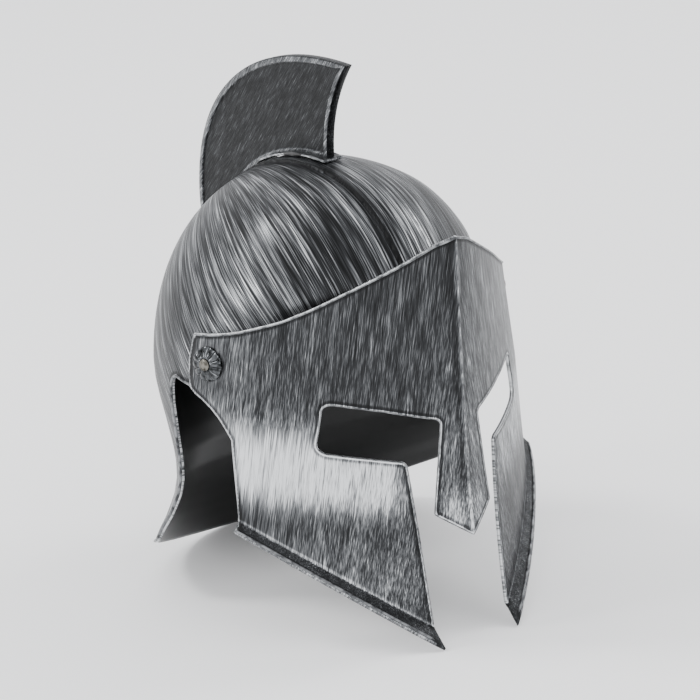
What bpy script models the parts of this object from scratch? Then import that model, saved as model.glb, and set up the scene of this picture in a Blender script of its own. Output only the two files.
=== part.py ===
"""Gladiator costume helmet: a skull shell with a neck guard, a crest fin, and a faceplate on two temple pivots.

The helmet is drawn in its own frame, in millimetres: +Z up through the crown, the face towards -Y, the
wearer's right at -X, and y = 0 through the widest part of the skull. An empty then tips it until it stands on its
two cheek points and the back of its neck rim, with the middle of its bounding box over the origin.
"""

import math

import bmesh
import bpy
import numpy as np
from mathutils import Matrix, Vector

MM = 0.001

# Skull shell
WALL = 2.0
SKULL_HALF_WIDTH = 94.0
SKULL_FRONT_DEPTH = 112.0
SKULL_BACK_DEPTH = 110.5
SKULL_FRONT_FULLNESS = 1.68
SKULL_BACK_FULLNESS = 2.35
EQUATOR_Z = 107.6
CROWN_RISE = 117.9
CROWN_LEAN = 14.5
CROWN_LEAN_POWER = 3.86
BAND_HALF_WIDTH = 10.5
BAND_SHOULDER = 1.4
BAND_HEIGHT = 1.2
BAND_FADE_FOOT_Z = 67.6
BAND_FADE_TOP_Z = 117.6
FOREHEAD_EDGE_Z = 152.0
FOREHEAD_TUCK = 0.22
TUCK_TOP_Z = 188.0
TUCK_FULL_Z = 160.0
EAR_EDGE_Z = 119.5
EAR_CORNER_Y = 12.5
EAR_CORNER_RADIUS = 8.5
NECK_CORNER_Y = 27.0
NECK_CORNER_Z = 18.3
NECK_RIM_BACK_Z = -19.8
NECK_RIM_BACK_DEPTH = 88.0

# Height above the rim as a share of the guard's height, then half width and back depth as shares of the skull's
NECK_SECTIONS = (
    # height, width, depth
    (0.00, 1.115, 0.790),
    (0.08, 1.084, 0.760),
    (0.15, 1.044, 0.738),
    (0.22, 1.014, 0.720),
    (0.29, 0.986, 0.706),
    (0.39, 0.969, 0.695),
    (0.49, 0.970, 0.704),
    (0.57, 0.974, 0.738),
    (0.66, 0.980, 0.800),
    (0.74, 0.984, 0.862),
    (0.83, 0.990, 0.935),
    (0.92, 0.997, 0.985),
    (1.00, 1.000, 1.000),
)

# Height of the guard's front edge as a share of the drop from ear to corner, then its place behind the middle
NECK_FRONT_EDGE = (
    # height, y
    (0.000, 27.0),
    (0.073, 23.9),
    (0.135, 21.6),
    (0.195, 20.0),
    (0.250, 19.3),
    (0.340, 19.2),
    (0.430, 19.4),
    (0.545, 20.0),
    (0.663, 20.7),
    (0.783, 21.2),
    (0.916, 21.0),
)

# Faceplate. The widths in its tables are in percent of its half width, which follows the skull's
VISOR_WALL = 2.0
TEMPLE_SPACE = 6.0
VISOR_HALF_WIDTH = SKULL_HALF_WIDTH + TEMPLE_SPACE
PERCENT = 100.0
VISOR_STRETCH = VISOR_HALF_WIDTH / PERCENT
RIDGE_TOP = (-111.0, 221.0)
RIDGE_FOOT = (-129.0, 57.0)
RIDGE_BOW = 1.4
PLAN_SLOPE = 0.39
PLAN_CURVE = 0.0052
PLAN_WRAP = 9.1
PLAN_WRAP_AT = 95.0
PLAN_WRAP_POWER = 14.2
PLAN_SPREAD = 0.037 / 85.0
PLAN_TRUE_Z = 144.0
TEMPLE_TIGHTENING = 0.0008
TEMPLE_Z = 112.0
CHEEK_SWING = 5.0
CHEEK_SWING_TOP_Z = 98.0
CHEEK_SWING_FOOT_Z = 7.0
BROW_FALL = 67.5
BROW_WIDTH = 96.0
CHEEK_EDGE_Z = -8.3
CHEEK_EDGE_SLOPE = 0.702
FLANGE_OUT_TIP = 8.0
FLANGE_DROP_TIP = 5.0
FLANGE_OUT_REAR = 4.6
FLANGE_DROP_REAR = 4.4
CHEEK_TIP_X = 24.2
CHEEK_FOOT_X = 23.0
FACE_CUT_START_Y = -190.0
FACE_CUT_DEPTH = 170.0

# The faceplate's brow edge: distance from the ridge as a share of the brow's half width, then share of its fall
BROW_EDGE = (
    # across, fall
    (0.000, -0.004),
    (0.111, 0.064),
    (0.219, 0.174),
    (0.396, 0.355),
    (0.517, 0.486),
    (0.611, 0.594),
    (0.738, 0.732),
    (0.837, 0.825),
    (0.893, 0.885),
    (0.948, 0.943),
    (0.976, 0.973),
    (0.999, 0.996),
)

# The faceplate's rear edge: height, and half width there
VISOR_REAR_EDGE = (
    # z, x
    (153.8, 95.9),
    (148.6, 96.8),
    (138.6, 98.4),
    (129.5, 99.4),
    (122.8, 100.0),
    (119.9, 99.3),
    (118.4, 98.2),
    (115.3, 96.7),
    (112.0, 95.6),
    (108.3, 94.6),
    (101.5, 92.9),
    (87.6, 93.2),
    (77.0, 93.4),
    (66.8, 93.6),
    (57.6, 93.9),
)

# The face opening, one half, from the nose point outwards: x, z and the corner's radius
FACE_OPENING = (
    # x, z, radius
    (0.0, 57.5, 0.0),
    (18.0, 69.8, 1.5),
    (14.6, 97.0, 0.0),
    (11.8, 121.6, 3.0),
    (37.6, 126.6, 0.0),
    (60.3, 129.0, 4.5),
    (65.2, 101.8, 4.5),
    (47.5, 100.4, 0.0),
    (28.6, 98.6, 3.0),
    (27.2, 81.0, 0.0),
    (26.0, 62.0, 0.0),
    (25.0, 38.0, 0.0),
    (CHEEK_TIP_X, 8.0, 0.0),
    (CHEEK_FOOT_X, -45.0, 0.0),
    (0.0, -45.0, 0.0),
)

# Temple pivots
PIVOT_Y = -21.4
PIVOT_Z = 140.4
PIVOT_SHANK_RADIUS = 2.0
PIVOT_CLEARANCE = 0.4
PIVOT_BORE_REACH = 1.45 * VISOR_HALF_WIDTH
PIVOT_TAIL_RADIUS = 3.6
PIVOT_TAIL_THICKNESS = 1.6
PIVOT_TAIL_GAP = 0.4
PIVOT_HEAD_RADIUS = 3.2
PIVOT_HEAD_RISE = 1.3
PIVOT_HEAD_GAP = 0.35
PIVOT_SHANK_INTO_HEAD = 0.45
ROSETTE_RADIUS = 9.4
ROSETTE_RISE = 3.0
ROSETTE_BRIM = 1.0
ROSETTE_PETALS = 12
ROSETTE_DIMPLE = 0.3
ROSETTE_GAP = 0.35
ROSETTE_FOOT_SHARE = 0.97
PETAL_NARROWING = 0.95
PETAL_VALLEY = 0.55

# The rosette's outline between brim and dimple, as shares of its radius and rise
ROSETTE_PROFILE = (
    # radius, height
    (0.95, 0.44),
    (0.74, 0.76),
    (0.46, 1.00),
)

# The pin head's outline from its edge to near its top, as shares of its radius and rise
PIVOT_HEAD_PROFILE = (
    # radius, height
    (1.00, 0.00),
    (0.88, 0.60),
    (0.50, 0.92),
)

# Crest
CREST_THICKNESS = 5.0
CREST_CENTRE = (-40.0, 172.0)
CREST_REACH = 171.9
CREST_RISE = 114.4
CREST_FALL = 100.0
CREST_POWER = 2.15
CREST_TIP_Y = -14.0
CREST_FRONT_BOW = 6.0
CREST_FOOT_Y = 2.5
CREST_TAIL_Y = 110.0
CREST_TAIL_INSET = 3.0
CREST_RIM = 4.0
CREST_PANEL_SINK = 0.8
CREST_GAP = 0.5
SADDLE_HALF_WIDTH = 6.5
SADDLE_THICKNESS = 1.8
SADDLE_TAIL = 0.62
SADDLE_FRONT = 1.5
SADDLE_TOP_SHARE = 0.86
SADDLE_TAPER = 0.45
SADDLE_TAPER_START = 0.55

# How far the helmet may have to be tipped to stand, in degrees
STAND_TIP_RANGE = (-5.0, 15.0)

# Mesh fineness
FRONT_COLUMNS = 11
BACK_COLUMNS = 14
DOME_ROWS = 12
EAR_CORNER_TURNS = (24.0, 45.0, 68.0, 90.0)
VISOR_COLUMNS = (0.0, 0.08, 0.17, 0.27, 0.38, 0.49, 0.59, 0.69, 0.78, 0.855, 0.91, 0.95, 0.98, 1.0)
ROSETTE_STEPS = 2 * ROSETTE_PETALS
PIN_STEPS = 16
CREST_STEPS = 22
CREST_FRONT_STEPS = 7
CREST_BASE_STEPS = 12
SADDLE_STEPS = 9
BASE_CROWDING = 0.9


def clear_scene():
    """Removes what the scene opened with."""
    for obj in list(bpy.data.objects):
        bpy.data.objects.remove(obj, do_unlink=True)


def principled(name, color, metallic, roughness):
    """A material with one Principled shader."""
    material = bpy.data.materials.new(name)
    material.use_nodes = True
    shader = material.node_tree.nodes["Principled BSDF"]
    shader.inputs["Base Color"].default_value = (*color, 1.0)
    shader.inputs["Metallic"].default_value = metallic
    shader.inputs["Roughness"].default_value = roughness
    material.diffuse_color = (*color, 1.0)
    return material


def column(table, index):
    """One column of a table, as an array."""
    return np.array([row[index] for row in table])


def eased(value, low, high):
    """0 below low, 1 above high, and a smooth step between."""
    t = min(max((value - low) / (high - low), 0.0), 1.0)
    return t * t * (3.0 - 2.0 * t)


def dome_point(angle, z):
    """A point of the skull's outside above its equator. The angle runs from the front, 0, to the back, pi."""
    share = min((z - EQUATOR_Z) / CROWN_RISE, 1.0)
    ring = math.sqrt(1.0 - share**2)
    middle = -CROWN_LEAN * share**CROWN_LEAN_POWER
    side, along = math.sin(angle), math.cos(angle)
    if along > 0.0:
        power = 2.0 / SKULL_FRONT_FULLNESS
        tuck = FOREHEAD_TUCK * (1.0 - eased(z, TUCK_FULL_Z, TUCK_TOP_Z))
        y = middle - SKULL_FRONT_DEPTH * (1.0 - tuck) * ring * along**power
        return SKULL_HALF_WIDTH * ring * side**power, y, z
    back_ring = (1.0 - share**SKULL_BACK_FULLNESS) ** (1.0 / SKULL_BACK_FULLNESS)
    return SKULL_HALF_WIDTH * ring * side, middle - SKULL_BACK_DEPTH * back_ring * along, z


def crown_z(y):
    """Height of the skull's outside on its middle line, without the band."""
    low, high = EQUATOR_Z, EQUATOR_Z + CROWN_RISE
    angle = 0.0 if y < -CROWN_LEAN else math.pi
    for _ in range(50):
        z = (low + high) / 2.0
        if abs(dome_point(angle, z)[1] + CROWN_LEAN) > abs(y + CROWN_LEAN):
            low = z
        else:
            high = z
    return low


def rim_z(angle):
    """Height of the neck guard's rim: it lies in a plane that falls towards the back."""
    y = -NECK_RIM_BACK_DEPTH * math.cos(angle)
    share = (y - NECK_CORNER_Y) / (NECK_RIM_BACK_DEPTH - NECK_CORNER_Y)
    return NECK_CORNER_Z + share * (NECK_RIM_BACK_Z - NECK_CORNER_Z)


def neck_point(angle, z):
    """A point of the outside at any height: the dome above the equator, the neck guard below it."""
    if z >= EQUATOR_Z:
        return dome_point(angle, z)
    rim = rim_z(angle)
    share = (z - rim) / (EQUATOR_Z - rim)
    width = SKULL_HALF_WIDTH * np.interp(share, column(NECK_SECTIONS, 0), column(NECK_SECTIONS, 1))
    depth = SKULL_BACK_DEPTH * np.interp(share, column(NECK_SECTIONS, 0), column(NECK_SECTIONS, 2))
    return width * math.sin(angle), -depth * math.cos(angle), z


def neck_edge_y(z):
    """How far back the neck guard's front edge stands at a height, with the rounded corner under the ear."""
    if z > EAR_EDGE_Z - EAR_CORNER_RADIUS:
        rise = min(z - (EAR_EDGE_Z - EAR_CORNER_RADIUS), EAR_CORNER_RADIUS)
        return EAR_CORNER_Y + math.sqrt(EAR_CORNER_RADIUS**2 - rise**2)
    share = (z - NECK_CORNER_Z) / (EAR_EDGE_Z - NECK_CORNER_Z)
    return float(np.interp(share, column(NECK_FRONT_EDGE, 0), column(NECK_FRONT_EDGE, 1)))


def neck_edge_angle(z):
    """The longitude of the neck guard's front edge at a height."""
    target = neck_edge_y(z)
    low, high = math.pi / 2, math.pi
    for _ in range(40):
        middle = (low + high) / 2.0
        if neck_point(middle, z)[1] < target:
            low = middle
        else:
            high = middle
    return low


def face_edge_z(angle, corner_angle):
    """Height of the skull's lower edge: over the brow at the front, level above the ear."""
    return EAR_EDGE_Z + (FOREHEAD_EDGE_Z - EAR_EDGE_Z) * (1.0 - eased(angle, 0.0, corner_angle))


def skull_x(y, z):
    """Half the skull's outside width at a place on its side."""
    low, high = 0.0, math.pi / 2
    for _ in range(50):
        angle = (low + high) / 2.0
        if dome_point(angle, z)[1] < y:
            low = angle
        else:
            high = angle
    return dome_point(low, z)[0]


def skull_columns(corner_angle):
    """Longitudes of the half skull's columns: the front part, then the part that the neck guard hangs from."""
    front = [corner_angle * i / FRONT_COLUMNS for i in range(FRONT_COLUMNS)]
    back = [corner_angle + (math.pi - corner_angle) * i / BACK_COLUMNS for i in range(BACK_COLUMNS + 1)]
    return front, back


def dome_heights(bottom):
    """Heights from just under the crown to the lower edge, evenly spread over the curve."""
    last = math.asin((bottom - EQUATOR_Z) / CROWN_RISE)
    turns = [math.pi / 2 + (last - math.pi / 2) * i / DOME_ROWS for i in range(1, DOME_ROWS + 1)]
    return [EQUATOR_Z + CROWN_RISE * math.sin(turn) for turn in turns]


def neck_heights():
    """Heights of the neck guard's rows on its front edge, close together round the ear corner."""
    drops = [1.0 - math.cos(math.radians(turn)) for turn in EAR_CORNER_TURNS]
    corner = [EAR_EDGE_Z - EAR_CORNER_RADIUS * drop for drop in drops]
    shares = column(NECK_FRONT_EDGE, 0)[::-1][1:]
    return corner + [NECK_CORNER_Z + share * (EAR_EDGE_Z - NECK_CORNER_Z) for share in shares]


def quad(bm, *points):
    """A face through points, leaving out any that repeat."""
    kept = [p for i, p in enumerate(points) if p is not points[i - 1]]
    if len(kept) > 2:
        bm.faces.new(kept)


def skull_surface():
    """The skull's outer surface as a bmesh in metres: a dome grid, and a neck grid that shares its last row."""
    bm = bmesh.new()
    corner_angle = neck_edge_angle(EAR_EDGE_Z - 0.001)
    front, back = skull_columns(corner_angle)
    angles = front + back
    ring = [-a for a in angles[:0:-1]] + angles
    crown = bm.verts.new(Vector((0.0, -CROWN_LEAN, EQUATOR_Z + CROWN_RISE)) * MM)
    grid = []
    for angle in ring[1:]:
        turn = abs(angle)
        bottom = EAR_EDGE_Z if turn >= corner_angle else face_edge_z(turn, corner_angle)
        points = [dome_point(turn, z) for z in dome_heights(bottom)]
        side = -1.0 if angle < 0 else 1.0
        grid.append([bm.verts.new(Vector((side * x, y, z)) * MM) for x, y, z in points])
    count = len(grid)
    for i in range(count):
        a, b = grid[i], grid[(i + 1) % count]
        quad(bm, crown, a[0], b[0])
        for j in range(DOME_ROWS - 1):
            quad(bm, a[j], a[j + 1], b[j + 1], b[j])
    neck_rows(bm, grid, back)
    bmesh.ops.recalc_face_normals(bm, faces=bm.faces)
    raise_band(bm)
    return bm


def neck_rows(bm, grid, back):
    """Hangs the neck guard from the dome's last row, behind the ears."""
    right = [column_points[-1] for column_points in grid[-len(back):]]
    left = [column_points[-1] for column_points in grid[: len(back) - 1]]
    top = right + left
    steps = len(back) - 1
    above = top
    for z_edge in neck_heights():
        start = neck_edge_angle(z_edge)
        share = (EAR_EDGE_Z - z_edge) / (EAR_EDGE_Z - NECK_CORNER_Z)
        row = []
        for i in range(2 * steps + 1):
            turn = start + (math.pi - start) * (1.0 - abs(i - steps) / steps)
            z = EAR_EDGE_Z + share * (rim_z(turn) - EAR_EDGE_Z)
            if i in (0, 2 * steps):
                z = z_edge
            x, y, z = neck_point(turn, z)
            side = (i < steps) - (i > steps)
            row.append(bm.verts.new(Vector((side * x, y, z)) * MM))
        for i in range(2 * steps):
            quad(bm, above[i], row[i], row[i + 1], above[i + 1])
        above = row


def raise_band(bm):
    """Lifts a band along the skull's middle line, with a narrow shoulder down each side."""
    for x in (BAND_HALF_WIDTH, BAND_HALF_WIDTH + BAND_SHOULDER):
        for side in (-1.0, 1.0):
            geometry = bm.verts[:] + bm.edges[:] + bm.faces[:]
            bmesh.ops.bisect_plane(
                bm, geom=geometry, dist=1e-6, plane_co=Vector((side * x * MM, 0, 0)), plane_no=Vector((1, 0, 0))
            )
    bm.normal_update()
    for vert in [v for v in bm.verts if abs(v.co.x) <= (BAND_HALF_WIDTH + 0.01) * MM]:
        fade = eased(vert.co.z / MM, BAND_FADE_FOOT_Z, BAND_FADE_TOP_Z)
        away = Vector((0.0, vert.normal.y, vert.normal.z)).normalized()
        vert.co += away * (BAND_HEIGHT * fade * MM)


def to_object(bm, name, material, origin=(0.0, 0.0, 0.0)):
    """Puts a bmesh in the scene, with its mesh around the given origin."""
    bmesh.ops.translate(bm, verts=bm.verts, vec=-Vector(origin))
    mesh = bpy.data.meshes.new(name)
    bm.to_mesh(mesh)
    bm.free()
    mesh.materials.append(material)
    obj = bpy.data.objects.new(name, mesh)
    obj.location = origin
    bpy.context.scene.collection.objects.link(obj)
    return obj


def cutter(bm, name, origin=(0.0, 0.0, 0.0)):
    """A helper object that only cuts."""
    bmesh.ops.recalc_face_normals(bm, faces=bm.faces)
    bmesh.ops.translate(bm, verts=bm.verts, vec=-Vector(origin))
    mesh = bpy.data.meshes.new(name)
    bm.to_mesh(mesh)
    bm.free()
    obj = bpy.data.objects.new(name, mesh)
    obj.location = origin
    obj.hide_render = True
    obj.display_type = "WIRE"
    bpy.context.scene.collection.objects.link(obj)
    return obj


def thicken(obj, wall):
    """Gives a surface its wall, towards the inside."""
    solid = obj.modifiers.new("Wall", "SOLIDIFY")
    solid.thickness = wall * MM
    solid.offset = -1.0
    solid.use_even_offset = True
    return solid


def boolean(obj, other, operation="DIFFERENCE"):
    """Adds an exact Boolean."""
    modifier = obj.modifiers.new(other.name, "BOOLEAN")
    modifier.operation = operation
    modifier.solver = "EXACT"
    modifier.object = other
    return modifier


def smooth_with_creases(obj, degrees=30.0):
    """Smooth shading with the sharp edges kept."""
    obj.data.shade_smooth()
    obj.data.set_sharp_from_angle(angle=math.radians(degrees))


def ridge_y(z):
    """Where the faceplate's ridge stands at a height."""
    share = (RIDGE_TOP[1] - z) / (RIDGE_TOP[1] - RIDGE_FOOT[1])
    bow = 4.0 * RIDGE_BOW * share * (1.0 - share)
    return RIDGE_TOP[0] + (RIDGE_FOOT[0] - RIDGE_TOP[0]) * share + bow


def plate_y(x, z):
    """Where the faceplate's outside stands: a ridge, two curved cheeks, and sides that turn along the skull."""
    swing = CHEEK_SWING * max((CHEEK_SWING_TOP_Z - z) / (CHEEK_SWING_TOP_Z - CHEEK_SWING_FOOT_Z), 0.0) ** 2
    x = x / VISOR_STRETCH
    swing *= max(1.0 - x / PERCENT, 0.0)
    x = x / (1.0 + PLAN_SPREAD * (PLAN_TRUE_Z - z) - TEMPLE_TIGHTENING * max(z - TEMPLE_Z, 0.0))
    wrap = PLAN_WRAP * (x / PLAN_WRAP_AT) ** PLAN_WRAP_POWER
    return ridge_y(z) + PLAN_SLOPE * x + PLAN_CURVE * x * x + wrap - swing


def brow_z(x):
    """Height of the faceplate's top edge."""
    fall = np.interp(x / (BROW_WIDTH * VISOR_STRETCH), column(BROW_EDGE, 0), column(BROW_EDGE, 1))
    return RIDGE_TOP[1] - BROW_FALL * float(fall)


def cheek_z(x):
    """Height of the bend over the cheek flange."""
    return CHEEK_EDGE_Z + CHEEK_EDGE_SLOPE * x / VISOR_STRETCH


def plate_x(y, z):
    """Half the faceplate's outside width at a place on its side."""
    low, high = 60.0, 130.0
    for _ in range(50):
        x = (low + high) / 2.0
        if plate_y(x, z) < y:
            low = x
        else:
            high = x
    return low


def plate_out(x, z):
    """The faceplate's outward direction in plan."""
    slope = (plate_y(x + 0.5, z) - plate_y(x - 0.5, z)) if x > 0.5 else plate_y(1.0, z) - plate_y(0.0, z)
    return Vector((slope, -1.0, 0.0)).normalized()


def visor_surface():
    """The faceplate's outer surface as a bmesh in metres, before the face is cut out of it."""
    bm = bmesh.new()
    heights, widths = column(VISOR_REAR_EDGE, 0), column(VISOR_REAR_EDGE, 1) * VISOR_STRETCH
    tip_x = CHEEK_TIP_X * VISOR_STRETCH
    shares = (heights[0] - heights) / (heights[0] - heights[-1])
    half = []
    for share, width in zip(shares, widths):
        row = []
        for part in VISOR_COLUMNS:
            x = part * width
            z = brow_z(x) + share * (cheek_z(x) - brow_z(x))
            row.append(Vector((x, plate_y(x, z), z)))
        half.append(row)
    flange = []
    for bend in half[-1]:
        part = min(max((bend.x - tip_x) / (widths[-1] - tip_x), 0.0), 1.0)
        out = FLANGE_OUT_TIP + part * (FLANGE_OUT_REAR - FLANGE_OUT_TIP)
        drop = FLANGE_DROP_TIP + part * (FLANGE_DROP_REAR - FLANGE_DROP_TIP)
        flange.append(bend + plate_out(bend.x, bend.z) * out - Vector((0.0, 0.0, drop)))
    flange[0].x = 0.0
    half.append(flange)
    rows = []
    for row in half:
        middle = bm.verts.new(row[0] * MM)
        right = [bm.verts.new(p * MM) for p in row[1:]]
        left = [bm.verts.new(Vector((-p.x, p.y, p.z)) * MM) for p in row[1:]]
        rows.append(left[::-1] + [middle] + right)
    for above, below in zip(rows, rows[1:]):
        for i in range(len(above) - 1):
            quad(bm, above[i], below[i], below[i + 1], above[i + 1])
    return bm


def rounded(outline, steps=4):
    """The corners of an outline, each rounded by its own radius."""
    points = []
    count = len(outline)
    for i, (x, z, radius) in enumerate(outline):
        here = Vector((x, z))
        if radius <= 0.0:
            points.append(here)
            continue
        before = (Vector(outline[i - 1][:2]) - here).normalized()
        after = (Vector(outline[(i + 1) % count][:2]) - here).normalized()
        half = before.angle(after) / 2.0
        reach = radius / math.tan(half)
        centre = here + (before + after).normalized() * (radius / math.sin(half))
        start, end = here + before * reach - centre, here + after * reach - centre
        turn = start.angle_signed(end)
        for j in range(steps + 1):
            a = -turn * j / steps
            c, s = math.cos(a), math.sin(a)
            points.append(centre + Vector((c * start.x - s * start.y, s * start.x + c * start.y)))
    return points


def face_cutter():
    """A prism through the faceplate in the shape of the face opening."""
    half = [Vector((p.x * VISOR_STRETCH, p.y)) for p in rounded(FACE_OPENING)]
    outline = half + [Vector((-p.x, p.y)) for p in half[::-1] if p.x > 1e-6]
    bm = bmesh.new()
    near = [bm.verts.new(Vector((p.x, FACE_CUT_START_Y, p.y)) * MM) for p in outline]
    face = bm.faces.new(near)
    far = bmesh.ops.extrude_face_region(bm, geom=[face])["geom"]
    moved = [v for v in far if isinstance(v, bmesh.types.BMVert)]
    bmesh.ops.translate(bm, verts=moved, vec=Vector((0.0, FACE_CUT_DEPTH, 0.0)) * MM)
    return cutter(bm, "cut_face")


def bore_cutter(name):
    """A long cylinder on the pivot axis, the pin's shank and its clearance."""
    bm = bmesh.new()
    radius = (PIVOT_SHANK_RADIUS + PIVOT_CLEARANCE) * MM
    turn = Matrix.Rotation(math.pi / 2, 4, "Y")
    place = Matrix.Translation(Vector((0.0, PIVOT_Y, PIVOT_Z)) * MM)
    bmesh.ops.create_cone(
        bm,
        cap_ends=True,
        segments=PIN_STEPS,
        radius1=radius,
        radius2=radius,
        depth=2 * PIVOT_BORE_REACH * MM,
        matrix=place @ turn,
    )
    return cutter(bm, name)


def turned(bm, profile, steps, matrix, flute=None):
    """A closed turned shape about local +Z, from (radius, height) pairs that start and end on the axis."""
    rings = []
    for radius, height in profile:
        if radius < 1e-6:
            rings.append([bm.verts.new(matrix @ (Vector((0, 0, height)) * MM))])
            continue
        ring = []
        for i in range(steps):
            a = 2.0 * math.pi * i / steps
            r, h = flute(radius, height, i) if flute else (radius, height)
            ring.append(bm.verts.new(matrix @ (Vector((r * math.cos(a), r * math.sin(a), h)) * MM)))
        rings.append(ring)
    for a, b in zip(rings, rings[1:]):
        for i in range(steps):
            j = (i + 1) % steps
            quad(bm, a[i % len(a)], a[j % len(a)], b[j % len(b)], b[i % len(b)])
    bmesh.ops.recalc_face_normals(bm, faces=bm.faces)


def seat_matrix(side, lift=0.0):
    """Where a rosette sits: square to the faceplate, with the middle of its top on the pivot axis."""
    slope_y = plate_x(PIVOT_Y + 1.0, PIVOT_Z) - plate_x(PIVOT_Y - 1.0, PIVOT_Z)
    slope_z = plate_x(PIVOT_Y, PIVOT_Z + 1.0) - plate_x(PIVOT_Y, PIVOT_Z - 1.0)
    out = Vector((1.0, -slope_y / 2.0, -slope_z / 2.0)).normalized()
    y = PIVOT_Y - out.y * ROSETTE_RISE
    z = PIVOT_Z - out.z * ROSETTE_RISE
    base = Vector((plate_x(y, z), y, z))
    proud = 0.0
    for i in range(16):
        a = math.pi * i / 8
        for share in (0.35, 0.7, 1.0):
            side_y = y + ROSETTE_RADIUS * share * math.cos(a)
            side_z = z + ROSETTE_RADIUS * share * math.sin(a)
            proud = max(proud, (Vector((plate_x(side_y, side_z), side_y, side_z)) - base).dot(out))
    base += out * (proud + ROSETTE_GAP + lift)
    out.x *= side
    base.x *= side
    return Matrix.Translation(base * MM) @ out.to_track_quat("Z", "Y").to_matrix().to_4x4()


def fluted(radius, height, i):
    """Petals: every second step of the rosette is drawn in and down."""
    if i % 2 and radius > PIVOT_HEAD_RADIUS and height > ROSETTE_BRIM * 0.5:
        return radius * PETAL_NARROWING, height - PETAL_VALLEY
    return radius, height


def rosette(side, name, material, bore):
    """A domed petalled washer under the pivot's head."""
    bm = bmesh.new()
    foot = [(0.0, 0.0), (ROSETTE_RADIUS * ROSETTE_FOOT_SHARE, 0.0), (ROSETTE_RADIUS, ROSETTE_BRIM)]
    dome = [(ROSETTE_RADIUS * radius, ROSETTE_RISE * height) for radius, height in ROSETTE_PROFILE]
    dimple = ROSETTE_RISE - ROSETTE_DIMPLE
    profile = foot + dome + [(PIVOT_HEAD_RADIUS, dimple), (0.0, dimple)]
    seat = seat_matrix(side)
    turned(bm, profile, ROSETTE_STEPS, seat, fluted)
    obj = to_object(bm, name, material, seat.translation)
    boolean(obj, bore)
    return obj


def tail_x():
    """How far out the pivot's tail disc may reach without touching the skull's wall."""
    reach = []
    for i in range(12):
        a = math.pi * i / 6
        y = PIVOT_Y + PIVOT_TAIL_RADIUS * math.cos(a)
        z = PIVOT_Z + PIVOT_TAIL_RADIUS * math.sin(a)
        slope_y = skull_x(y + 0.5, z) - skull_x(y - 0.5, z)
        slope_z = skull_x(y, z + 0.5) - skull_x(y, z - 0.5)
        reach.append(skull_x(y, z) - WALL * math.sqrt(1.0 + slope_y**2 + slope_z**2))
    return min(reach) - PIVOT_TAIL_GAP


def pivot_pin(side, name, material):
    """A shank on the pivot axis with a tail disc inside the skull, joined to a domed head over the rosette."""
    tail = tail_x()
    seat = seat_matrix(side, ROSETTE_RISE - ROSETTE_DIMPLE + PIVOT_HEAD_GAP)
    origin = Vector((side * tail, PIVOT_Y, PIVOT_Z)) * MM
    along = Matrix.Translation(origin) @ Vector((side, 0.0, 0.0)).to_track_quat("Z", "Y").to_matrix().to_4x4()
    top = abs(seat.translation.x) / MM - tail + PIVOT_HEAD_RISE * PIVOT_SHANK_INTO_HEAD
    shank_profile = (
        (0.0, -PIVOT_TAIL_THICKNESS),
        (PIVOT_TAIL_RADIUS, -PIVOT_TAIL_THICKNESS),
        (PIVOT_TAIL_RADIUS, 0.0),
        (PIVOT_SHANK_RADIUS, 0.0),
        (PIVOT_SHANK_RADIUS, top),
        (0.0, top),
    )
    dome = [(PIVOT_HEAD_RADIUS * radius, PIVOT_HEAD_RISE * height) for radius, height in PIVOT_HEAD_PROFILE]
    cap = bmesh.new()
    turned(cap, [(0.0, 0.0)] + dome + [(0.0, PIVOT_HEAD_RISE)], PIN_STEPS, seat)
    bm = bmesh.new()
    turned(bm, shank_profile, PIN_STEPS, along)
    pin = to_object(bm, name, material, origin)
    boolean(pin, cutter(cap, f"add_head_{name}"), "UNION")
    return pin


def crest_arc(turn):
    """The crest's outer edge: a superellipse, from over the tip, near pi/2, down the back, below 0."""
    fall = CREST_RISE if turn > 0 else CREST_FALL
    c, s = math.cos(turn), math.sin(turn)
    y = CREST_CENTRE[0] + CREST_REACH * abs(c) ** (2.0 / CREST_POWER)
    return y, CREST_CENTRE[1] + math.copysign(abs(s) ** (2.0 / CREST_POWER), s) * fall


def crest_base(y, rise=0.0):
    """A point above the skull's band at a place along it, measured square to the skull."""
    slope = crown_z(y + 0.5) - crown_z(y - 0.5)
    out = Vector((-slope, 1.0)).normalized()
    return Vector((y, crown_z(y))) + out * (BAND_HEIGHT + CREST_GAP + rise)


def base_ys(start, end, steps):
    """Places along the skull's middle line, closer together where it turns down."""
    shares = [math.sin(math.pi / 2 * i / steps) ** BASE_CROWDING for i in range(steps + 1)]
    return [start + (end - start) * share for share in shares]


def crest_outline():
    """The crest's outline as (y, z), from the front foot up and over to the tail, then back along the skull."""
    tip_turn = math.pi / 2
    while crest_arc(tip_turn)[0] < CREST_TIP_Y:
        tip_turn -= 0.002
    tail_turn = 0.0
    while crown_z(crest_arc(tail_turn)[0] - CREST_TAIL_INSET) < crest_arc(tail_turn)[1]:
        tail_turn -= 0.005
    turns = [tip_turn + (tail_turn - tip_turn) * i / CREST_STEPS for i in range(CREST_STEPS + 1)]
    arc = [Vector(crest_arc(turn)) for turn in turns]
    foot = crest_base(CREST_FOOT_Y)
    tip = arc[0]
    front = []
    for i in range(CREST_FRONT_STEPS):
        t = i / CREST_FRONT_STEPS
        bow = 4.0 * CREST_FRONT_BOW * t * (1.0 - t)
        front.append(Vector((foot.x + (tip.x - foot.x) * t + bow, foot.y + (tip.y - foot.y) * t)))
    base = [crest_base(y) for y in base_ys(CREST_FOOT_Y, CREST_TAIL_Y, CREST_BASE_STEPS)][1:]
    return front + arc + base[::-1]


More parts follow.
